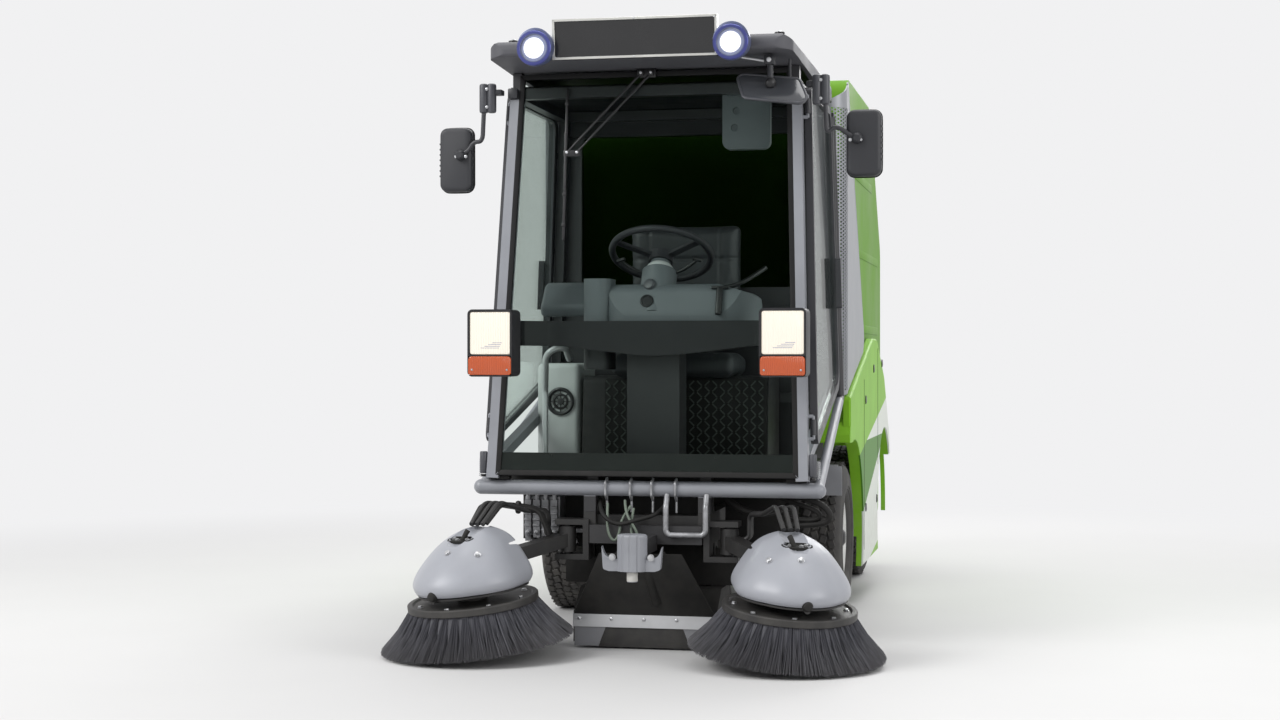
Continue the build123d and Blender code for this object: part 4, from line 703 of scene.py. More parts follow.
def wheel_tyre(end, side):
    """Tyre with moulded side rings, a crowned carcass and rows of tread blocks."""
    half = TYRE_WIDTH / 2
    place = Matrix.Translation(middle_of(f"tyre_{end}_{side}")) @ at(ry=90)
    rubber = FINISHES["tyre_rubber"]
    piece = Piece()
    base = TYRE_RADIUS - 0.007
    wall = [(0.0005, 0.022), (0.004, 0.016), (0.014, 0.008), (0.026, 0.006), (0.028, 0.003), (0.036, 0.003),
            (0.040, 0.0), (0.058, 0.0), (0.062, 0.002), (0.090, 0.004), (0.106, 0.010)]
    profile = [(RIM_RADIUS + up, inward - half) for up, inward in wall]
    profile += [(base - 0.004, -half + 0.020), (base, -half + 0.030)]
    ring = profile + [(radius, -x) for radius, x in reversed(profile)]
    piece.add(turned(ring, 96, closed=True), rubber, place)
    places = []
    for i in range(TREAD_BLOCKS):
        for row, across in enumerate(TREAD_ROWS):
            turn = 360 / TREAD_BLOCKS * (i + 0.5 * (row % 2))
            places.append(place @ at(rz=turn) @ at(x=TYRE_RADIUS - 0.0054, z=across) @ at(ry=90, rz=90)
                          @ at(rz=TREAD_TURN if row % 2 else -TREAD_TURN))
    piece.add(block((0.026, 0.024, 0.010), 0.0022, 1), rubber, *places)
    piece.finish(f"tyre_{end}_{side}_treaded", f"wheel_{end}_{side}", "tyre_rubber", [f"tyre_{end}_{side}"],
                 30)


def hub_details(end, side):
    """Wheel nuts and hub cap on the outer face of a rim."""
    middle = middle_of(f"rim_{end}_{side}")
    out = SIDES[side]
    face = middle.x + out * (TYRE_WIDTH / 2 - 0.030)
    piece = Piece()
    place = at(face, middle.y, middle.z, ry=90 * out)
    for i in range(5):
        piece.add(hex_head(0.010), NUT_STEEL, place @ at(rz=72 * i + 36) @ at(x=0.048, z=0.001))
    piece.add(turned([(0.034, 0.0), (0.034, 0.006), (0.030, 0.016), (0.020, 0.024), (0, 0.026)], 36),
              FINISHES["post_grey"], place @ at(z=-0.004))
    piece.finish(f"hub_{end}_{side}_fittings", f"wheel_{end}_{side}", "rim_white")


# Front of the cab
ROOF_LAMP_X = 0.315
HEADLAMP_X = 0.472


def roof_lamp_details():
    """Lamp bodies with their violet rings, reflectors and lit lenses."""
    piece = Piece()
    for x in (ROOF_LAMP_X, -ROOF_LAMP_X):
        place = at(x, -1.305, 1.926, rx=90)
        piece.add(turned([(0.0555, 0.020), (0.0560, 0.031), (0.053, 0.034), (0.046, 0.0345), (0.0435, 0.032),
                          (0.0435, 0.024)], 48, closed=True), LAMP_BLUE, place)
        piece.add(turned([(0.043, 0.029), (0.036, 0.0285), (0.024, 0.0255), (0.0, 0.025)], 48), REFLECTOR,
                  place)
        piece.add(turned([(0.0425, 0.0270), (0.0425, 0.0300), (0.031, 0.0310), (0.0, 0.0310)], 48),
                  LENS_RIM, place)
        piece.add(turned([(0.034, 0.0300), (0.033, 0.0322), (0.022, 0.0335), (0.0, 0.0340), (0.0, 0.030)],
                         48), LED_WHITE, place)
        piece.add(turned([(0.0485, -0.030), (0.0560, -0.030), (0.0575, 0.020), (0.0500, 0.022)], 48,
                         closed=True), FINISHES["lamp_housing"], place @ at(y=0.0085))
        for turn in range(-30, 31, 10):
            piece.add(block((0.004, 0.010, 0.052), 0.001, 1), FINISHES["lamp_housing"],
                      place @ at(rz=turn + 90) @ at(x=0.054, z=-0.008, ry=4))
    piece.finish("roof_lamp_fronts", "root", "lamp_housing")


def sign_frame():
    """Light frame round the blank board over the windscreen."""
    place = at(0, -1.2793, 1.958, rx=4)
    piece = Piece()
    half_x, half_z, band = 0.266, 0.064, 0.008
    for z in (-half_z + band / 2, half_z - band / 2):
        piece.add(block((2 * half_x - 0.0006, 0.004, band), 0.001, 1), SIGN_FRAME, place @ at(y=-0.0125, z=z))
    for x in (-half_x + band / 2, half_x - band / 2):
        piece.add(block((band, 0.004, 2 * half_z - 0.0006), 0.001, 1), SIGN_FRAME, place @ at(x=x, y=-0.0125))
    for x, z in ((0.0, -half_z + 0.004), (0.0, half_z - 0.004), (-0.258, -0.056), (0.258, 0.056)):
        piece.add(dome_head(0.003), NUT_STEEL, place @ at(x=x, y=-0.0145, z=z, rx=90))
    piece.finish("sign_frame_trim", "root", "sign_black")


def headlamp_details():
    """Lit lens, and the amber lens under it with two screws each."""
    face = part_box("headlamp_lenses")[0].y
    piece, amber = Piece(), Piece()
    for x in (HEADLAMP_X, -HEADLAMP_X):
        lens = plate(oblong(0.0665, 0.068, 0.008), 0.034, 0.003)
        piece.add(lens, FINISHES["lamp_glass"], at(x, face + 0.034, 1.0235, rx=90))
        cover = plate(outline([(-0.071, -0.030, 0.008), (0.071, -0.030, 0.008), (0.071, 0.030, 0.012),
                               (-0.071, 0.030, 0.012)]), 0.015, 0.003)
        amber.add(cover, FINISHES["amber_lens"], at(x, -1.2835, 0.9195, rx=90))
        for i in range(4):
            piece.add(block((0.062 - 0.010 * i, 0.0012, 0.0016), 0.0006, 1), LENS_RIM,
                      at(x + 0.008 * i, face - 0.0001, 0.976 + i * 0.0055))
        for dx in (-0.058, 0.058):
            amber.add(dome_head(0.0035), FITTING_STEEL, at(x + dx, -1.2985, 0.906, rx=90))
    piece.finish("headlamp_lens_pair", "root", "lamp_glass", ["headlamp_lenses"])
    amber.finish("indicator_lens_pair", "root", "amber_lens", ["indicators"])


def nozzle_details():
    """Rivets of the bright strip, the light side plates and the rubber flap under it."""
    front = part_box("nozzle_strip")[0].y
    piece = Piece()
    for i in range(5):
        piece.add(dome_head(0.006), NUT_STEEL, at(-0.215 + 0.1075 * i, front, 0.097, rx=90))
    piece.finish("nozzle_strip_rivets", "root", "bright_steel")
    skirt = Piece()
    skirt.add(plate([(0.152, -0.062), (0.232, -0.062), (0.232, 0.0), (0.128, 0.0)], 0.003),
              FINISHES["fender_grey"], *(over @ at(0, front + 0.007, 0.070, rx=90) for over in BOTH_SIDES))
    skirt.add(plate([(-0.128, 0.0), (-0.152, -0.064), (0.152, -0.064), (0.128, 0.0)], 0.006, 0.001),
              FLAP_RUBBER, at(0, front + 0.010, 0.070, rx=90))
    skirt.finish("nozzle_skirt", "root", "black_rubber")


def crown_details():
    """Two bolts in the scoops of the casting, and its white nylon stub."""
    piece = Piece()
    for x in (-0.062, 0.062):
        piece.add(hex_head(0.010), NUT_STEEL, at(x, -1.330, 0.318, rx=90))
    piece.add(drum(0.0175, 0.030, sides=32, round_off=0.002), WHITE_NYLON, at(0, -1.318, 0.2415))
    piece.finish("crown_bolts", "root", "cast_grey")


# Side screens, as lengths along the sheet from where it starts to turn, and heights
SCREEN_SIDE, SCREEN_FRONT, SCREEN_BEND, SCREEN_SHEET = 0.565, -0.259, 0.060, 0.004
SCREEN_TURN_END = SCREEN_BEND * math.pi / 2
SCREEN_PLAIN_FROM = SCREEN_TURN_END + 0.012
HOLE_PITCH, HOLE_RADIUS = 0.0135, 0.0043


def wrap_round_corner(bm):
    """Bends a flat sheet of lengths, heights and depths round the screen's front corner."""
    for vert in bm.verts:
        length, height, out = vert.co
        radius = SCREEN_BEND + out
        angle = min(max(length / SCREEN_BEND, 0), math.pi / 2)
        x = SCREEN_SIDE - SCREEN_BEND + radius * math.sin(angle) + min(length, 0)
        y = SCREEN_FRONT + SCREEN_BEND - radius * math.cos(angle) + max(length - SCREEN_TURN_END, 0)
        vert.co = (x, y, height)
    return bm


def cut_at(bm, place, normal, clear=False):
    """Cuts a mesh along a plane, and clears what lies past it."""
    bmesh.ops.bisect_plane(bm, geom=list(bm.verts) + list(bm.edges) + list(bm.faces), dist=1e-6,
                           plane_co=place, plane_no=normal, clear_outer=clear)


def bent_sheet(corners, proud=0.0):
    """Plain stretch of the screen's sheet."""
    bm = plate(outline(corners), SCREEN_SHEET + 2 * proud)
    bmesh.ops.translate(bm, verts=bm.verts, vec=(0, 0, -SCREEN_SHEET - proud))
    for i in range(9):
        cut_at(bm, (SCREEN_TURN_END * i / 8, 0, 0), (1, 0, 0))
    return wrap_round_corner(bm)


def perforated_field(low, high, inner_low, inner_high, until):
    """Stretch of sheet with staggered round holes between two heights, from a slanted edge to a length."""
    cell = bmesh.new()
    bmesh.ops.create_circle(cell, segments=12, radius=HOLE_RADIUS)
    hexagon = bmesh.ops.create_circle(cell, segments=6, radius=HOLE_PITCH / math.sqrt(3))
    bmesh.ops.subdivide_edges(cell, edges=list({e for v in hexagon["verts"] for e in v.link_edges}), cuts=1)
    bmesh.ops.bridge_loops(cell, edges=cell.edges)
    mesh = bpy.data.meshes.new("shape")
    cell.to_mesh(mesh)
    cell.free()
    bm = bmesh.new()
    step = HOLE_PITCH * math.sqrt(3) / 2
    start = min(inner_low, inner_high) - step
    for column in range(int((until - start) / step) + 2):
        for row in range(int((high - low) / HOLE_PITCH) + 2):
            placed = mesh.copy()
            place = (start + column * step, low + (row + column % 2 / 2) * HOLE_PITCH, 0)
            placed.transform(Matrix.Translation(place))
            bm.from_mesh(placed)
            bpy.data.meshes.remove(placed)
    bpy.data.meshes.remove(mesh)
    bmesh.ops.remove_doubles(bm, verts=bm.verts, dist=2e-5)
    for place, normal in (((0, low, 0), (0, -1, 0)), ((0, high, 0), (0, 1, 0)), ((until, 0, 0), (1, 0, 0)),
                          ((inner_low, low, 0), (low - high, inner_high - inner_low, 0))):
        cut_at(bm, place, normal, clear=True)
    drawn = bmesh.ops.extrude_face_region(bm, geom=list(bm.faces))
    bmesh.ops.translate(bm, verts=[v for v in drawn["geom"] if isinstance(v, bmesh.types.BMVert)],
                        vec=(0, 0, -SCREEN_SHEET))
    return wrap_round_corner(bm)


def panel_top(y):
    """Height of the side panel's sloping edge."""
    return 0.800 + 0.222 * (y + 0.233) / 0.920


def side_screens():
    """Perforated sheet that turns from the cab's rear post round to the side of the hopper."""
    def length_at(y):
        """Length along the sheet where it is a place along the machine."""
        return SCREEN_TURN_END + y - SCREEN_FRONT - SCREEN_BEND

    low, high = 0.816, 1.862
    inner_low, inner_high = 0.0205, -0.0130
    plain_to = SCREEN_PLAIN_FROM + 0.004
    corner_y = SCREEN_PLAIN_FROM - SCREEN_TURN_END + SCREEN_FRONT + SCREEN_BEND
    plain_side = [(SCREEN_PLAIN_FROM, panel_top(corner_y) + 0.008, 0), (length_at(0.497), 0.984, 0.060),
                  (length_at(-0.169), 1.965, 0.030), (SCREEN_PLAIN_FROM, 1.948, 0)]
    foot_band = [(inner_low, 0.803, 0), (plain_to, 0.8165, 0), (plain_to, 0.830, 0), (inner_low, 0.822, 0)]
    inner_band = [(inner_low, 0.803, 0), (inner_low + 0.009, 0.803, 0), (inner_high + 0.009, 1.866, 0),
                  (inner_high, 1.866, 0)]
    inner_head = [(inner_high, 1.854, 0), (0.0085, 1.854, 0), (0.0085, 1.866, 0), (inner_high, 1.866, 0)]
    head_band = [(0.0085, 1.850, 0), (plain_to, 1.850, 0), (plain_to, 1.945, 0), (0.0628, 1.909, 0),
                 (0.0085, 1.882, 0)]
    shapes = [perforated_field(low, high, inner_low, inner_high, SCREEN_PLAIN_FROM), bent_sheet(plain_side),
              bent_sheet(foot_band, 0.0004), bent_sheet(inner_band, 0.0006), bent_sheet(inner_head, 0.0004),
              bent_sheet(head_band, 0.0004)]
    piece = Piece()
    for shape in shapes:
        piece.add(shape, FINISHES["screen_grey"], *BOTH_SIDES)
    clip = block((0.030, 0.050, 0.020), 0.003, 1)
    piece.add(clip, BLACK_PLASTIC, *(over @ at(on_post(z)[0] + 0.015, -0.240, z) for over in BOTH_SIDES
                                     for z in (0.880, 1.340, 1.820)))
    piece.finish("side_screens_perforated", "root", "screen_grey", ["side_screens"], 30)


# The left front post's outer face and middle, at its foot and at its top
POST_FOOT = (0.532, -1.102, 0.5474)
POST_TOP = (0.490, -0.945, 1.850)


def on_post(z):
    """Outer X and middle Y of a front post at a height."""
    share = (z - POST_FOOT[2]) / (POST_TOP[2] - POST_FOOT[2])
    return tuple(foot + (top - foot) * share for foot, top in zip(POST_FOOT[:2], POST_TOP[:2]))


# Windscreen, set in front of the cab's header and up to the roof
SCREEN_LEAN = math.degrees(math.atan2(POST_TOP[1] - POST_FOOT[1], POST_TOP[2] - POST_FOOT[2]))
GLASS_LOW, GLASS_HIGH = 0.556, 1.893
GLASS_FORWARD = 0.0222


def raked(z, out=0.0):
    """A place on the windscreen's plane at a height, facing forward, with X to the machine's right."""
    _, y = on_post(z)
    return at(0, y, z, rx=-SCREEN_LEAN) @ at(y=-out) @ at(rx=90)


def up_the_glass(z):
    """Length up the raked windscreen from its lower edge to a height."""
    return (z - GLASS_LOW) / math.cos(math.radians(SCREEN_LEAN))


def windscreen_outline(inset):
    """The windscreen's four corners, that far in from its edges."""
    low, high = GLASS_LOW + inset, GLASS_HIGH - inset
    return [(sign * (on_post(z)[0] - 0.030 - inset), up_the_glass(z))
            for sign, z in ((-1, low), (1, low), (1, high), (-1, high))]


def windscreen():
    """Bonded flat windscreen with its black seal, and the black band that is printed along its lower edge."""
    place = raked(GLASS_LOW, GLASS_FORWARD)
    glass = Piece()
    sheet = plate(outline([(x, z, 0.014) for x, z in windscreen_outline(0.015)]), 0.005)
    glass.add(sheet, WINDSCREEN, place @ at(z=-0.0025))
    glass.finish("windscreen_glass", "root", "clear_glass", ["cab_glass"])
    rear = Piece()
    half = on_post(POST_TOP[2])[0] - 0.078
    pane = [(-half, 1.202, 0.030), (half, 1.202, 0.030), (half, 1.758, 0.030), (-half, 1.758, 0.030)]
    rear.add(plate(outline(pane), 0.006), FINISHES["clear_glass"], at(y=-0.249, rx=90))
    rear.finish("rear_window_glass", "root", "clear_glass", ["cab_glass"])
    seal = Piece()
    outer, inner = windscreen_outline(0.0), windscreen_outline(0.018)
    for i in range(4):
        strip = [outer[i - 1], outer[i], inner[i], inner[i - 1]]
        seal.add(plate(strip, 0.014, 0.003), RUBBER, place @ at(z=-0.010))
    (left_x, foot), (right_x, _) = windscreen_outline(0.014)[:2]
    band = [(left_x, foot), (right_x, foot), (right_x - 0.001, foot + 0.062), (left_x + 0.001, foot + 0.062)]
    seal.add(plate(band, 0.0012), SMOKED_BAND, place @ at(z=-0.0045))
    seal.finish("windscreen_seal_moulded", "root", "black_rubber", ["windscreen_seal"])


def wiper():
    """Two slim arms side by side from the roof's front, the head that joins them and the upright blade."""
    black, steel = BLACK_ENAMEL, FINISHES["bright_steel"]
    place = raked(GLASS_LOW, GLASS_FORWARD)

    def on_glass(x, z, out):
        """A point over the windscreen, by its height and how far it stands out."""
        return place @ Vector((x, up_the_glass(z), out))

    def facing(x, z, out, turn=90.0):
        """A place over the windscreen that faces forward."""
        return Matrix.Translation(on_glass(x, z, out)) @ at(rx=turn)

    piece = Piece()
    for x in (0.0, 0.034):
        foot = on_glass(x - 0.040, 1.882, 0.016)
        head = on_glass(x - 0.286, 1.622, 0.018)
        elbow = on_glass(x - 0.058, 1.864, 0.020)
        run = head - elbow
        piece.add(bar(foot, elbow, 0.0055, 0.0045), black)
        piece.add(bar(elbow, elbow + run * 0.55, 0.0048, 0.0040), black)
        piece.add(bar(elbow + run * 0.55, head, 0.0040, 0.0032), black)
        piece.add(drum(0.010, 0.022, sides=20, round_off=0.002), black, facing(x - 0.040, 1.882, 0.016)
                  @ at(z=-0.008))
        piece.add(hex_head(0.005), steel, facing(x - 0.040, 1.882, 0.029))
        piece.add(dome_head(0.005), steel, facing(x - 0.286, 1.622, 0.021))
    piece.add(block((0.064, 0.030, 0.016), 0.004, 2), black, facing(-0.023, 1.884, 0.010))
    piece.add(block((0.058, 0.022, 0.010), 0.003, 2), black, facing(-0.270, 1.620, 0.013))
    blade_low, blade_high = 1.330, 1.838
    spine = facing(-0.292, (blade_low + blade_high) / 2, 0.0095, 90 - SCREEN_LEAN)
    piece.add(block((0.009, blade_high - blade_low, 0.005), 0.002, 2), black, spine)
    piece.add(block((0.0035, blade_high - blade_low + 0.012, 0.010), 0.001, 1), RUBBER, spine @ at(z=-0.004))
    for share in (0.1, 0.3, 0.7, 0.9):
        z = blade_low + (blade_high - blade_low) * share
        piece.add(block((0.013, 0.012, 0.012), 0.003, 2), black, facing(-0.292, z, 0.011))
    piece.add(bar(on_glass(-0.292, 1.50, 0.014), on_glass(-0.292, 1.69, 0.014), 0.0045), black)
    piece.finish("wiper_assembly", "root", "wiper_black", ["wiper"])


def side_mirror(side, head_x, head_z):
    """Mirror on a bent arm that turns in a double clamp on the post."""
    shell = MIRROR_SHELL
    clamp_x, clamp_y, clamp_z = 0.560, -1.007, 1.814
    piece = Piece()
    over = OVER[side]
    for dx in (-0.0135, 0.0135):
        piece.add(turned([(0, -0.049), (0.010, -0.049), (0.0145, -0.046), (0.0155, -0.040), (0.0155, 0.040),
                          (0.0145, 0.046), (0.010, 0.049), (0, 0.049)], 28), CLAMP_GREY,
                  over @ at(clamp_x + dx, clamp_y, clamp_z))
    _, post_y = on_post(clamp_z)
    face = post_y - 0.025
    piece.add(block((0.062, face - clamp_y + 0.006, 0.018), 0.003, 2), shell,
              over @ at(clamp_x - 0.018, (face + clamp_y - 0.006) / 2, clamp_z + 0.020))
    piece.add(block((0.034, 0.014, 0.034), 0.004, 2), shell, over @ at(0.480, face - 0.007, clamp_z + 0.018))
    for z in (-0.030, 0.030):
        piece.add(hex_head(0.005), NUT_STEEL, over @ at(clamp_x, clamp_y - 0.013, clamp_z + z, rx=90))
    arm = [(clamp_x + 0.0135, clamp_y, clamp_z - 0.035),
           (clamp_x + 0.016, clamp_y - 0.001, clamp_z - 0.090),
           (clamp_x + 0.018, clamp_y - 0.002, clamp_z - 0.145),
           (clamp_x + 0.050, clamp_y - 0.002, head_z + 0.058), (head_x - 0.045, clamp_y, head_z + 0.022),
           (head_x - 0.012, clamp_y, head_z + 0.012)]
    piece.add(hose(arm, 0.0075, 8, 4), FINISHES["door_black"], over)
    head = over @ at(head_x, clamp_y + 0.026, head_z)
    form = plate(oblong(0.056, 0.108, 0.026, 6), 0.040)
    front = [e for e in form.edges if all(v.co.z > 0.039 for v in e.verts)]
    rounded(form, front, 0.014, 4)
    piece.add(form, shell, head @ at(y=0.020, rx=90))
    rim = [(x, 0.017, z) for x, z in oblong(0.0565, 0.1085, 0.0265, 4)]
    piece.add(beading(head, rim, 0.0032), RUBBER)
    glass = plate(oblong(0.049, 0.101, 0.021, 5), 0.003, 0.001)
    piece.add(glass, MIRROR_GLASS, head @ at(y=0.0225, rx=90))
    knuckle = over @ at(head_x - 0.020, clamp_y - 0.002, head_z + 0.014, rx=90)
    piece.add(turned([(0.0, 0.016), (0.010, 0.016), (0.017, 0.010), (0.019, 0.0), (0.017, -0.010),
                      (0, -0.012)], 28), shell, knuckle)
    for dx in (-0.022, 0.012):
        piece.add(hex_head(0.005), NUT_STEEL, knuckle @ at(x=dx, y=-0.006, z=0.009))
    for z in range(-3, 4):
        piece.add(block((0.004, 0.020, 0.006), 0.001, 1), shell, head @ at(x=0.0565, z=z * 0.018))
    return piece


def mirrors():
    """Both side mirrors, and the kerb mirror on its ball under the visor."""
    side_mirror("left", 0.697, 1.640).finish("mirror_left_assembly", "root", "mirror_plastic", ["mirrors"])
    side_mirror("right", 0.676, 1.612).finish("mirror_right_assembly", "root", "mirror_plastic", ["mirrors"])
    shell, steel = MIRROR_SHELL, FINISHES["bright_steel"]
    piece = Piece()
    place = at(0.423, -1.180, 1.796, rx=50)
    corners = [(-0.0865, -0.040, 0.020), (0.128, -0.076, 0.024), (0.084, 0.042, 0.022),
               (-0.123, 0.074, 0.020)]
    dish = plate(outline(corners, 5), 0.011)
    rim = [e for e in dish.edges if all(v.co.z > 0.010 for v in e.verts)]
    rounded(dish, rim, 0.006, 3)
    piece.add(dish, MIRROR_BACK, place @ at(z=-0.006))
    edge = outline([(x * 1.005, y * 1.005, r) for x, y, r in corners], 4)
    piece.add(beading(place, [(x, y, 0.003) for x, y in edge], 0.0042, 3, 3), CLAMP_GREY)
    small = [(x * 0.93, y * 0.90, r * 0.9) for x, y, r in corners]
    piece.add(plate(outline(small, 5), 0.002, 0.0008), MIRROR_GLASS, place @ at(z=-0.0085))
    ball = place @ Vector((-0.004, 0.014, 0.014))
    piece.add(turned([(0, -0.018), (0.012, -0.014), (0.018, -0.004), (0.018, 0.004), (0.012, 0.014),
                      (0, 0.018)], 24), BLACK_ENAMEL, Matrix.Translation(ball))
    roof = Vector((ball.x - 0.004, ball.y + 0.010, 1.9045))
    piece.add(bar(ball, roof, 0.010), shell)
    piece.add(block((0.034, 0.040, 0.030), 0.005, 2), shell, at(roof.x, roof.y, roof.z - 0.016))
    piece.add(hose([roof + Vector((0, 0, -0.020)), roof + Vector((-0.040, 0.0, -0.012)),
                    roof + Vector((-0.085, 0.0, -0.004)), roof + Vector((-0.100, 0.0, 0.0))], 0.0045, 5, 3),
              steel)
    piece.add(hex_head(0.007), steel, at(roof.x, roof.y - 0.020, roof.z - 0.016, rx=90))
    piece.add(bar((0.470, -1.10, 1.80), (0.470, -1.10, 1.902), 0.005), shell)
    piece.finish("kerb_mirror_assembly", "root", "mirror_plastic", ["mirrors"])


# Under the bumper
def front_machinery():
    """Black rubber sheets behind and beside the casting, set as painted shade for the shadowed machinery
    there, and hoses, cable loops and couplings under the bumper tube.
    """
    shade_sheets = Piece()
    # Painted shade: black sheets that fill the shadowed space round the casting under the bumper
    sheet = plate([(-0.300, 0.196), (0.300, 0.196), (0.300, 0.300), (0.160, 0.330), (0.160, 0.500),
                   (-0.160, 0.500), (-0.160, 0.330), (-0.300, 0.300)], 0.006, 0.001)
    shade_sheets.add(sheet, RUBBER, at(y=-0.965, rx=90))
    cheek = plate([(0.226, 0.300), (0.470, 0.330), (0.470, 0.505), (0.226, 0.505)], 0.005, 0.001)
    shade_sheets.add(cheek, RUBBER, *(over @ at(y=-0.880, rx=90) for over in BOTH_SIDES))
    curtain = plate([(-0.234, 0.0), (0.234, 0.0), (0.135, 0.215), (-0.135, 0.215)], 0.004, 0.001)
    shade_sheets.add(curtain, RUBBER, at(y=-1.130, z=0.112, rx=17) @ at(rx=90))
    shade_sheets.add(bar((0.045, -1.136, 0.150), (0.0, -1.196, 0.335), 0.020, 0.011, round_off=0.004), RUBBER)
    for x in (-0.075, 0.075):
        shade_sheets.add(bar((x * 1.9, -1.134, 0.140), (x, -1.190, 0.322), 0.006, 0.005), RUBBER)
    shade_sheets.add(plate([(-0.500, 0.495), (0.500, 0.495), (0.500, 0.559), (-0.500, 0.559)], 0.005, 0.001), RUBBER,
              at(y=-0.960, rx=90))
    shade_sheets.finish("nozzle_shade_sheets", "root", "black_rubber")
    lines = Piece()
    loops = [(CABLE_GREY, 0.0045, [(-0.128, -1.100, 0.470), (-0.124, -1.128, 0.420),
                                   (-0.118, -1.135, 0.372), (-0.098, -1.135, 0.346),
                                   (-0.082, -1.132, 0.372), (-0.078, -1.128, 0.420),
                                   (-0.050, -1.105, 0.462)]),
             (CABLE_GREY, 0.0045, [(-0.070, -1.100, 0.480), (-0.062, -1.130, 0.440),
                                   (-0.030, -1.138, 0.395), (-0.020, -1.138, 0.372),
                                   (-0.034, -1.134, 0.362), (-0.048, -1.128, 0.392),
                                   (-0.040, -1.105, 0.455)]),
             (RUBBER, 0.007, [(-0.160, -1.060, 0.480), (-0.150, -1.130, 0.440), (-0.090, -1.140, 0.400),
                              (-0.020, -1.135, 0.420), (0.050, -1.120, 0.440), (0.060, -1.060, 0.470)]),
             (RUBBER, 0.010, [(0.440, -1.000, 0.500), (0.480, -1.050, 0.500), (0.565, -1.060, 0.478),
                              (0.600, -1.060, 0.440), (0.585, -1.050, 0.412), (0.520, -1.030, 0.404),
                              (0.440, -1.010, 0.398)]),
             (RUBBER, 0.008, [(0.420, -1.000, 0.490), (0.500, -1.040, 0.470), (0.560, -1.050, 0.448),
                              (0.560, -1.045, 0.424), (0.500, -1.030, 0.418), (0.430, -1.000, 0.430)]),
             (RUBBER, 0.011, [(0.230, -0.985, 0.500), (0.275, -1.010, 0.456), (0.365, -1.015, 0.432),
                              (0.455, -1.010, 0.456), (0.500, -0.985, 0.500)]),
             (RUBBER, 0.007, [(-0.420, -0.965, 0.350), (-0.400, -0.985, 0.322), (-0.340, -0.988, 0.306),
                              (-0.300, -0.965, 0.300)])]
    for finish, radius, points in loops:
        lines.add(hose(points, radius, 8, 3), finish)
    for x, z in ((-0.372, 0.368), (-0.345, 0.360), (-0.318, 0.372), (-0.292, 0.352), (-0.265, 0.330)):
        place = at(x, -0.984, z, rx=90, ry=12)
        lines.add(turned([(0.007, -0.050), (0.010, -0.020), (0.013, -0.018), (0.013, 0.0), (0.009, 0.002),
                          (0.009, 0.010), (0, 0.012)], 6), NUT_STEEL, place)
        lines.add(turned([(0.0085, -0.060), (0.0085, -0.020)], 16), RUBBER, place)
    for i in range(4):
        x = -0.425 + 0.030 * i
        for z in (0.385, 0.405, 0.425, 0.445):
            lines.add(block((0.024, 0.006, 0.008), 0.0015, 1), FITTING_STEEL, at(x, -0.997, z))
        lines.add(hex_head(0.008), NUT_STEEL, at(x, -0.996, 0.362, rx=90))
    lines.finish("front_hoses_and_couplings", "root", "fitting_steel")


def arm_hoses(side):
    """Bundle of thin hoses from the motor cover up over the arm."""
    piece = Piece()
    over = OVER[side]
    cover = BRUSH_PLACE @ at(rz=COVER_TURN)
    rng = random.Random(11)
    for i in range(5):
        spread = (i - 2) * 0.016
        start = cover @ Vector((spread, 0.070, 0.366))
        rise = cover @ Vector((spread * 1.3, 0.150, 0.412 + rng.uniform(0, 0.014)))
        points = [start, start.lerp(rise, 0.5), rise, (0.420, -1.135 + spread, 0.452 + rng.uniform(0, 0.012)),
                  (0.352, -1.118 + spread * 0.6, 0.448), (0.336, -1.116 + spread * 0.6, 0.405),
                  (0.322, -1.112 + spread * 0.6, 0.372)]
        piece.add(hose(points, 0.0062, 8, 3), RUBBER, over)
    piece.add(turned([(0.020, -0.006), (0.022, 0.0), (0.020, 0.006)], 24), BLACK_PLASTIC,
              over @ Matrix.Translation((0.420, -1.135, 0.455)) @ at(ry=90))
    piece.finish(f"arm_{side}_hoses", f"brush_arm_{side}", "black_rubber")


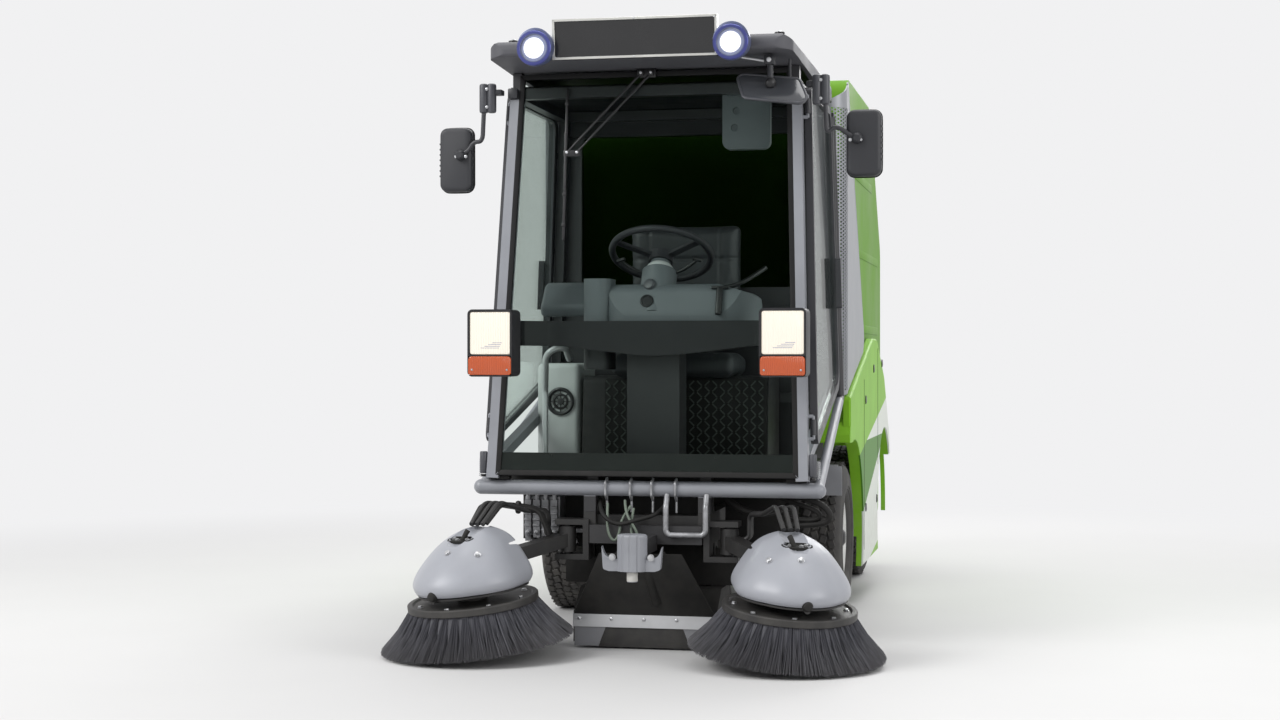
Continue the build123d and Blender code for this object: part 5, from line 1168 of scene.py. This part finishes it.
# Inside the cab
def cab_inside():
    """Heater console with its round vent, patterned mat, stalks, knob, tray and hanging handle."""
    grey, black = FINISHES["dash_plastic"], BLACK_PLASTIC
    console = Piece()
    low_x, high_x = -0.500, -0.345
    console.add(block((high_x - low_x, 0.270, 0.340), 0.020, 3), PANEL_GREY,
                at((low_x + high_x) / 2, -0.455, 0.584 + 0.171))
    vent = at(-0.412, -0.590, 0.790, rx=90)
    console.add(turned([(0.046, 0.0), (0.050, 0.003), (0.050, 0.008), (0.044, 0.011), (0.038, 0.008),
                        (0.036, 0.002)], 40, closed=True), grey, vent)
    console.add(turned([(0.028, 0.0), (0.029, 0.006), (0.022, 0.008), (0.020, 0.003)], 32, closed=True),
                black, vent)
    console.add(turned([(0.012, 0.0), (0.012, 0.006), (0, 0.008)], 24), grey, vent)
    for turn in range(0, 180, 45):
        console.add(block((0.076, 0.003, 0.004), 0.001, 1), black, vent @ at(z=0.003, rz=turn))
    console.finish("heater_console", "root", "dash_plastic")
    lining = Piece()
    lining.add(block((0.930, 0.640, 0.008), 0.003, 1), black, at(0, -0.600, 1.858))
    lining.add(block((0.930, 0.010, 0.110), 0.003, 1), black, at(0, -0.276, 1.812))
    lining.finish("cab_headliner", "root", "black_plastic")
    mat = Piece()
    mat.add(plate(outline([(-0.245, 0.600, 0.012), (0.325, 0.600, 0.012), (0.325, 0.872, 0.012),
                           (-0.245, 0.872, 0.012)]), 0.004, 0.001), RUBBER, at(y=-0.6155, rx=90))
    bump = block((0.024, 0.005, 0.0026), 0.001, 1)
    places = []
    for row in range(13):
        for column in range(21):
            turn = 45 if (row + column) % 2 else -45
            places.append(at(-0.232 + column * 0.0270, -0.6205, 0.616 + row * 0.0200, rx=90) @ at(rz=turn))
    mat.add(bump, MAT_RUBBER, *places)
    mat.finish("riser_mat", "root", "black_rubber")
    trim = Piece()
    knob = on_surface("dash_console", (-0.036, -1.05, 1.190), (0, 1, 0))
    trim.add(turned([(0.020, 0.0), (0.022, 0.004), (0.018, 0.012), (0.010, 0.014), (0, 0.014)], 32),
             CLAMP_GREY, knob)
    hole = on_surface("dash_console", (-0.040, -1.05, 1.135), (0, 1, 0))
    trim.add(turned([(0.022, 0.0), (0.023, 0.003), (0.018, 0.004), (0.016, 0.001), (0, 0.001)], 32), black,
             hole)
    handle = on_surface("dash_console", (0.207, -1.05, 1.130), (0, 1, 0))
    trim.add(block((0.022, 0.100, 0.014), 0.006, 3), BLACK_ENAMEL, handle @ at(z=0.010, y=0.0))
    trim.add(block((0.060, 0.010, 0.012), 0.003, 2), BLACK_ENAMEL, handle @ at(z=0.004, y=0.052))
    wheel_centre = (-0.020, -0.733, 1.300)
    column = at(*wheel_centre, rx=-28)
    trim.add(turned([(0.046, -0.150), (0.052, -0.140), (0.054, -0.100), (0.048, -0.060), (0.040, -0.048),
                     (0.034, -0.046)], 40), PANEL_GREY, column)
    for sign in (1, -1):
        stalk = [column @ Vector((sign * out, forward, up)) for out, forward, up in (
            (0.040, 0.0, -0.080), (0.090, -0.010, -0.072), (0.132, -0.030, -0.040))]
        trim.add(hose(stalk, 0.006, 6, 3), BLACK_ENAMEL)
        trim.add(block((0.014, 0.034, 0.012), 0.004, 2), BLACK_ENAMEL,
                 Matrix.Translation(stalk[-1]) @ at(rx=-28, rz=sign * -60))
    tray = [(0.100, -0.800, 1.190), (0.150, -0.830, 1.178), (0.230, -0.838, 1.180), (0.290, -0.810, 1.205),
            (0.345, -0.760, 1.250)]
    trim.add(hose(tray, 0.008, 8, 3), BLACK_ENAMEL)
    trim.finish("dash_controls", "root", "dash_plastic")


def post_feet():
    """Hinge barrel, spring and rubber block at the foot of each front post."""
    piece = Piece()
    for over in BOTH_SIDES:
        piece.add(turned([(0, -0.036), (0.011, -0.036), (0.013, -0.032), (0.013, 0.032), (0.011, 0.036),
                          (0, 0.036)], 24), CLAMP_GREY, over @ at(0.545, -1.108, 0.600))
        piece.add(hex_head(0.010), BLACK_ENAMEL, over @ at(0.545, -1.108, 0.553))
    coil = [(0.560 + 0.0075 * math.cos(i * math.pi / 3), -1.085 + 0.0075 * math.sin(i * math.pi / 3),
             0.555 + i * 0.0011) for i in range(54)]
    piece.add(hose(coil, 0.0014, 2, 1), NUT_STEEL, *BOTH_SIDES)
    piece.add(block((0.066, 0.034, 0.014), 0.004, 2), RUBBER, at(0.492, -1.090, 0.5505),
              at(-0.492, -1.090, 0.5505))
    piece.finish("post_foot_fittings", "root", "post_grey")


# Trim on the hopper, the side panels, the tail, the roof and the doors
HOPPER_SIDE, HOPPER_SLOPE = 0.540, ((1.017, 1.995), (1.517, 1.420))


def hopper_trim():
    """Ribs on the hopper's flanks, the lid on its slope, and hinges, latches and bar of its door."""
    green, steel = FINISHES["hopper_green"], FITTING_STEEL
    piece = Piece()
    for z, length in ((1.06, 1.16), (1.36, 1.16), (1.66, 0.86)):
        piece.add(block((0.004, length, 0.034), 0.0018, 2), green,
                  *(at(side * (HOPPER_SIDE + 0.0005), 0.20 + length / 2, z) for side in (1, -1)))
    (y0, z0), (y1, z1) = HOPPER_SLOPE
    tilt = math.degrees(math.atan2(z1 - z0, y1 - y0))
    slope = at(0, (y0 + y1) / 2, (z0 + z1) / 2, rx=tilt)
    lid = plate(oblong(0.25, 0.16, 0.04), 0.010, 0.004)
    piece.add(lid, green, slope @ at(z=0.0008))
    edge = [(x, y, 0.003) for x, y in oblong(0.256, 0.166, 0.046, 4)]
    piece.add(beading(slope, edge, 0.003), RUBBER)
    for x in (-0.20, 0.20):
        piece.add(block((0.050, 0.030, 0.010), 0.003, 2), BLACK_ENAMEL, slope @ at(x=x, y=0.166, z=0.010))
        piece.add(block((0.034, 0.060, 0.012), 0.004, 2), steel, slope @ at(x=x, y=-0.165, z=0.011))
    piece.finish("hopper_trim", "hopper", "hopper_green")
    door = Piece()
    for x in (-0.30, 0.30):
        door.add(block((0.060, 0.006, 0.120), 0.002, 2), green, at(x, 1.5515, 1.27))
        for z in (1.235, 1.285):
            door.add(hex_head(0.008), NUT_STEEL, at(x, 1.5545, z, rx=-90))
    for x in (-0.36, 0.36):
        door.add(block((0.040, 0.012, 0.110), 0.004, 2), steel, at(x, 1.5540, 0.905))
        door.add(bar((x, 1.562, 0.945), (x, 1.572, 0.870), 0.006), BLACK_ENAMEL)
    for z in (1.02, 1.14):
        door.add(block((0.66, 0.004, 0.026), 0.0018, 2), green, at(0, 1.5495, z))
    door.add(hose([(-0.10, 1.548, 0.955), (-0.10, 1.590, 0.955), (0.0, 1.592, 0.955), (0.10, 1.590, 0.955),
                   (0.10, 1.548, 0.955)], 0.007, 8, 3), BLACK_ENAMEL)
    door.finish("hopper_door_trim", "hopper_door", "hopper_green")


def body_trim():
    """Latches and joint lines of the side panels, tail lamp parts, roof ribs and screws."""
    steel, black = FITTING_STEEL, BLACK_ENAMEL
    piece = Piece()
    spots = [over @ at(0.5795, y, z, ry=90) for over in BOTH_SIDES
             for y, z in ((0.36, 0.78), (0.72, 0.90), (0.36, 0.36), (0.86, 0.36), (1.12, 0.92))]
    piece.add(turned([(0.017, 0.0), (0.017, 0.003), (0.013, 0.0045), (0, 0.0045)], 28), black, *spots)
    piece.add(block((0.020, 0.004, 0.002), 0.0008, 1), steel, *(spot @ at(z=0.0046, rz=25) for spot in spots))
    for y, low_z, high_z in ((0.30, 0.20, 0.86), (0.92, 0.50, 0.985)):
        piece.add(block((0.0012, 0.004, high_z - low_z), 0.0004, 1), RUBBER,
                  *(over @ at(0.5803, y, (low_z + high_z) / 2) for over in BOTH_SIDES))
    piece.finish("side_panel_latches", "root", "lime_paint")
    tail = Piece()
    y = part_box("tail_lamps")[1].y
    for x in (0.445, -0.445):
        tail.add(block((0.092, 0.004, 0.003), 0.001, 1), REFLECTOR, at(x, y + 0.0005, 0.570),
                 at(x, y + 0.0005, 0.480))
        tail.add(block((0.080, 0.003, 0.078), 0.001, 1), FINISHES["amber_lens"], at(x, y + 0.0008, 0.525))
        tail.add(turned([(0.020, 0.0), (0.020, 0.002), (0, 0.003)], 28), FINISHES["red_lens"],
                 at(x, y, 0.450, rx=-90))
        for dz in (-0.082, 0.082):
            tail.add(dome_head(0.004), steel, at(x, y, 0.510 + dz, rx=-90))
    for x in (-0.40, 0.40):
        tail.add(dome_head(0.007), NUT_STEEL, at(x, 1.6594, 0.630, rx=-90), at(x, 1.6594, 0.290, rx=-90))
    tail.finish("tail_trim", "root", "red_lens")
    roof = Piece()
    for x in (-0.27, 0.0, 0.27):
        roof.add(block((0.060, 0.780, 0.010), 0.0045, 3), FINISHES["roof_plastic"], at(x, -0.640, 1.9835))
    for x in (-0.44, 0.44):
        for y in (-1.12, -0.68, -0.24):
            roof.add(turned([(0.017, 0.0), (0.016, 0.004), (0, 0.005)], 24), black, at(x, y, 1.9815))
            roof.add(hex_head(0.007), NUT_STEEL, at(x, y, 1.9855))
    roof.finish("roof_ribs", "root", "roof_plastic")


# Seat. The cloth is laid on a close mesh, swells under pressure and stays within a cap.
SEAT_MESH = 0.007
SEAT_PRESSURE = 4.0
SEAT_MOMENTS = 20
SEAT_SWELL = 0.012
CHANNEL_WIDTH = CHANNEL_DEPTH = 0.010


def baked(piece):
    """Bakes a piece's modifiers into its mesh."""
    graph = bpy.context.evaluated_depsgraph_get()
    mesh = bpy.data.meshes.new_from_object(piece.evaluated_get(graph))
    old = piece.data
    piece.modifiers.clear()
    piece.data = mesh
    bpy.data.meshes.remove(old)


def blown_up(name, size, place, round_off, channels):
    """Seat pad swollen by a cloth simulation from a slightly smaller cushion, then sewn in channels."""
    bm = block(size, round_off, 4)
    bm.transform(place)
    mesh = bpy.data.meshes.new(name)
    bm.to_mesh(mesh)
    bm.free()
    pad = bpy.data.objects.new(name, mesh)
    bpy.context.scene.collection.objects.link(pad)
    voxels = pad.modifiers.new("voxels", "REMESH")
    voxels.mode = "VOXEL"
    voxels.voxel_size = SEAT_MESH
    baked(pad)
    rest = [v.co.copy() for v in pad.data.vertices]
    cloth = pad.modifiers.new("stuffing", "CLOTH")
    cloth.settings.use_pressure = True
    cloth.settings.uniform_pressure_force = SEAT_PRESSURE
    cloth.settings.effector_weights.gravity = 0.0
    for moment in range(1, SEAT_MOMENTS + 1):
        bpy.context.scene.frame_set(moment)
    baked(pad)
    bpy.context.scene.frame_set(1)
    inverse = place.inverted()
    for vert, start in zip(pad.data.vertices, rest):
        moved = vert.co - start
        if moved.length > SEAT_SWELL:
            vert.co = start + moved.normalized() * SEAT_SWELL
        local = inverse @ vert.co
        for axis, spot in channels:
            if abs(local[axis]) < size[0 if axis == 1 else 1] and local.z > 0:
                pull = max(0.0, 1 - abs(local[axis] - spot) / CHANNEL_WIDTH)
                local.z -= CHANNEL_DEPTH * pull * pull
        vert.co = place @ local
    smooth = pad.modifiers.new("smooth", "SUBSURF")
    smooth.levels = smooth.render_levels = 1
    baked(pad)
    for face in pad.data.polygons:
        face.use_smooth = True
    pad.data.materials.clear()
    pad.data.materials.append(FINISHES["seat_vinyl"])
    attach(pad, "root")
    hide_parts("seat_pads")
    return pad


def seat():
    """Cushion and back of the driver's seat, each its own stuffed and sewn pad."""
    blown_up("seat_cushion", (0.455, 0.315, 0.066), at(0, -0.513, 0.918), 0.022,
             [(0, -0.15), (0, 0.15), (1, -0.05), (1, 0.06)])
    blown_up("seat_back", (0.415, 0.455, 0.070), at(0, -0.366, 1.200, rx=90), 0.024,
             [(0, -0.13), (0, 0.13), (1, 0.10), (1, -0.06)])


# Camera and studio
CAMERA_SPOT = (1.287, -7.445, 0.947)
CAMERA_TURN = 11.64
CAMERA_LENS = 56.0
CAMERA_SHIFT = -0.0023
LAMPS = [
    # name, place, what it is aimed at, side of the square, power
    ("key", (-6.0, -6.5, 6.2), (0, -0.8, 0.8), 4.5, 560),
    ("fill", (6.5, -4.0, 3.5), (0, 0, 0.9), 4.0, 170),
    ("top", (0, 0.5, 7.0), (0, 0, 0), 5.0, 230),
    ("rear", (1.5, 7.5, 5.0), (0, 0, 1.0), 4.0, 260),
]


def camera_view():
    """The photograph's view."""
    data = bpy.data.cameras.new("view")
    data.lens = CAMERA_LENS
    data.sensor_width = 36.0
    data.shift_y = CAMERA_SHIFT
    data.clip_end = 200
    camera = bpy.data.objects.new("view", data)
    camera.location = CAMERA_SPOT
    camera.rotation_euler = (math.radians(90), 0, math.radians(CAMERA_TURN))
    bpy.context.scene.collection.objects.link(camera)
    bpy.context.scene.camera = camera


def studio():
    """A pale floor, soft lamps and a plain bright background."""
    bm = bmesh.new()
    bmesh.ops.create_grid(bm, x_segments=1, y_segments=1, size=60)
    mesh = bpy.data.meshes.new("floor")
    bm.to_mesh(mesh)
    bm.free()
    floor = bpy.data.objects.new("floor", mesh)
    mesh.materials.append(floor_surface("pale_floor"))
    bpy.context.scene.collection.objects.link(floor)

    for name, spot, aim, size, power in LAMPS:
        lamp = bpy.data.lights.new(name, "AREA")
        lamp.size = size
        lamp.energy = power
        holder = bpy.data.objects.new(name, lamp)
        holder.location = spot
        holder.rotation_euler = (Vector(aim) - Vector(spot)).to_track_quat("-Z", "Y").to_euler()
        bpy.context.scene.collection.objects.link(holder)

    world = bpy.data.worlds.new("studio")
    bpy.context.scene.world = world
    world.use_nodes = True
    tree = world.node_tree
    tree.nodes.clear()
    dim = add(tree, "Background", {"Color": linear("F2F4F7"), "Strength": 0.5})
    bright = add(tree, "Background", {"Color": linear(BACKGROUND), "Strength": 1.0})
    add(tree, "OutputWorld", {"Surface": add(tree, "MixShader", {0: seen_rays(tree), 1: dim, 2: bright})})
    bpy.context.scene.view_settings.view_transform = "Standard"


def build():
    """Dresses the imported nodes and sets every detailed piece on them."""
    dress_nodes()
    for side in SIDES:
        side_brush(side)
        brush_cover_details(side)
        for end in ("front", "rear"):
            wheel_tyre(end, side)
            hub_details(end, side)
    roof_lamp_details()
    sign_frame()
    headlamp_details()
    nozzle_details()
    crown_details()
    side_screens()
    windscreen()
    wiper()
    mirrors()
    front_machinery()
    arm_hoses("right")
    cab_inside()
    post_feet()
    hopper_trim()
    body_trim()
    seat()
    camera_view()
    studio()


build()
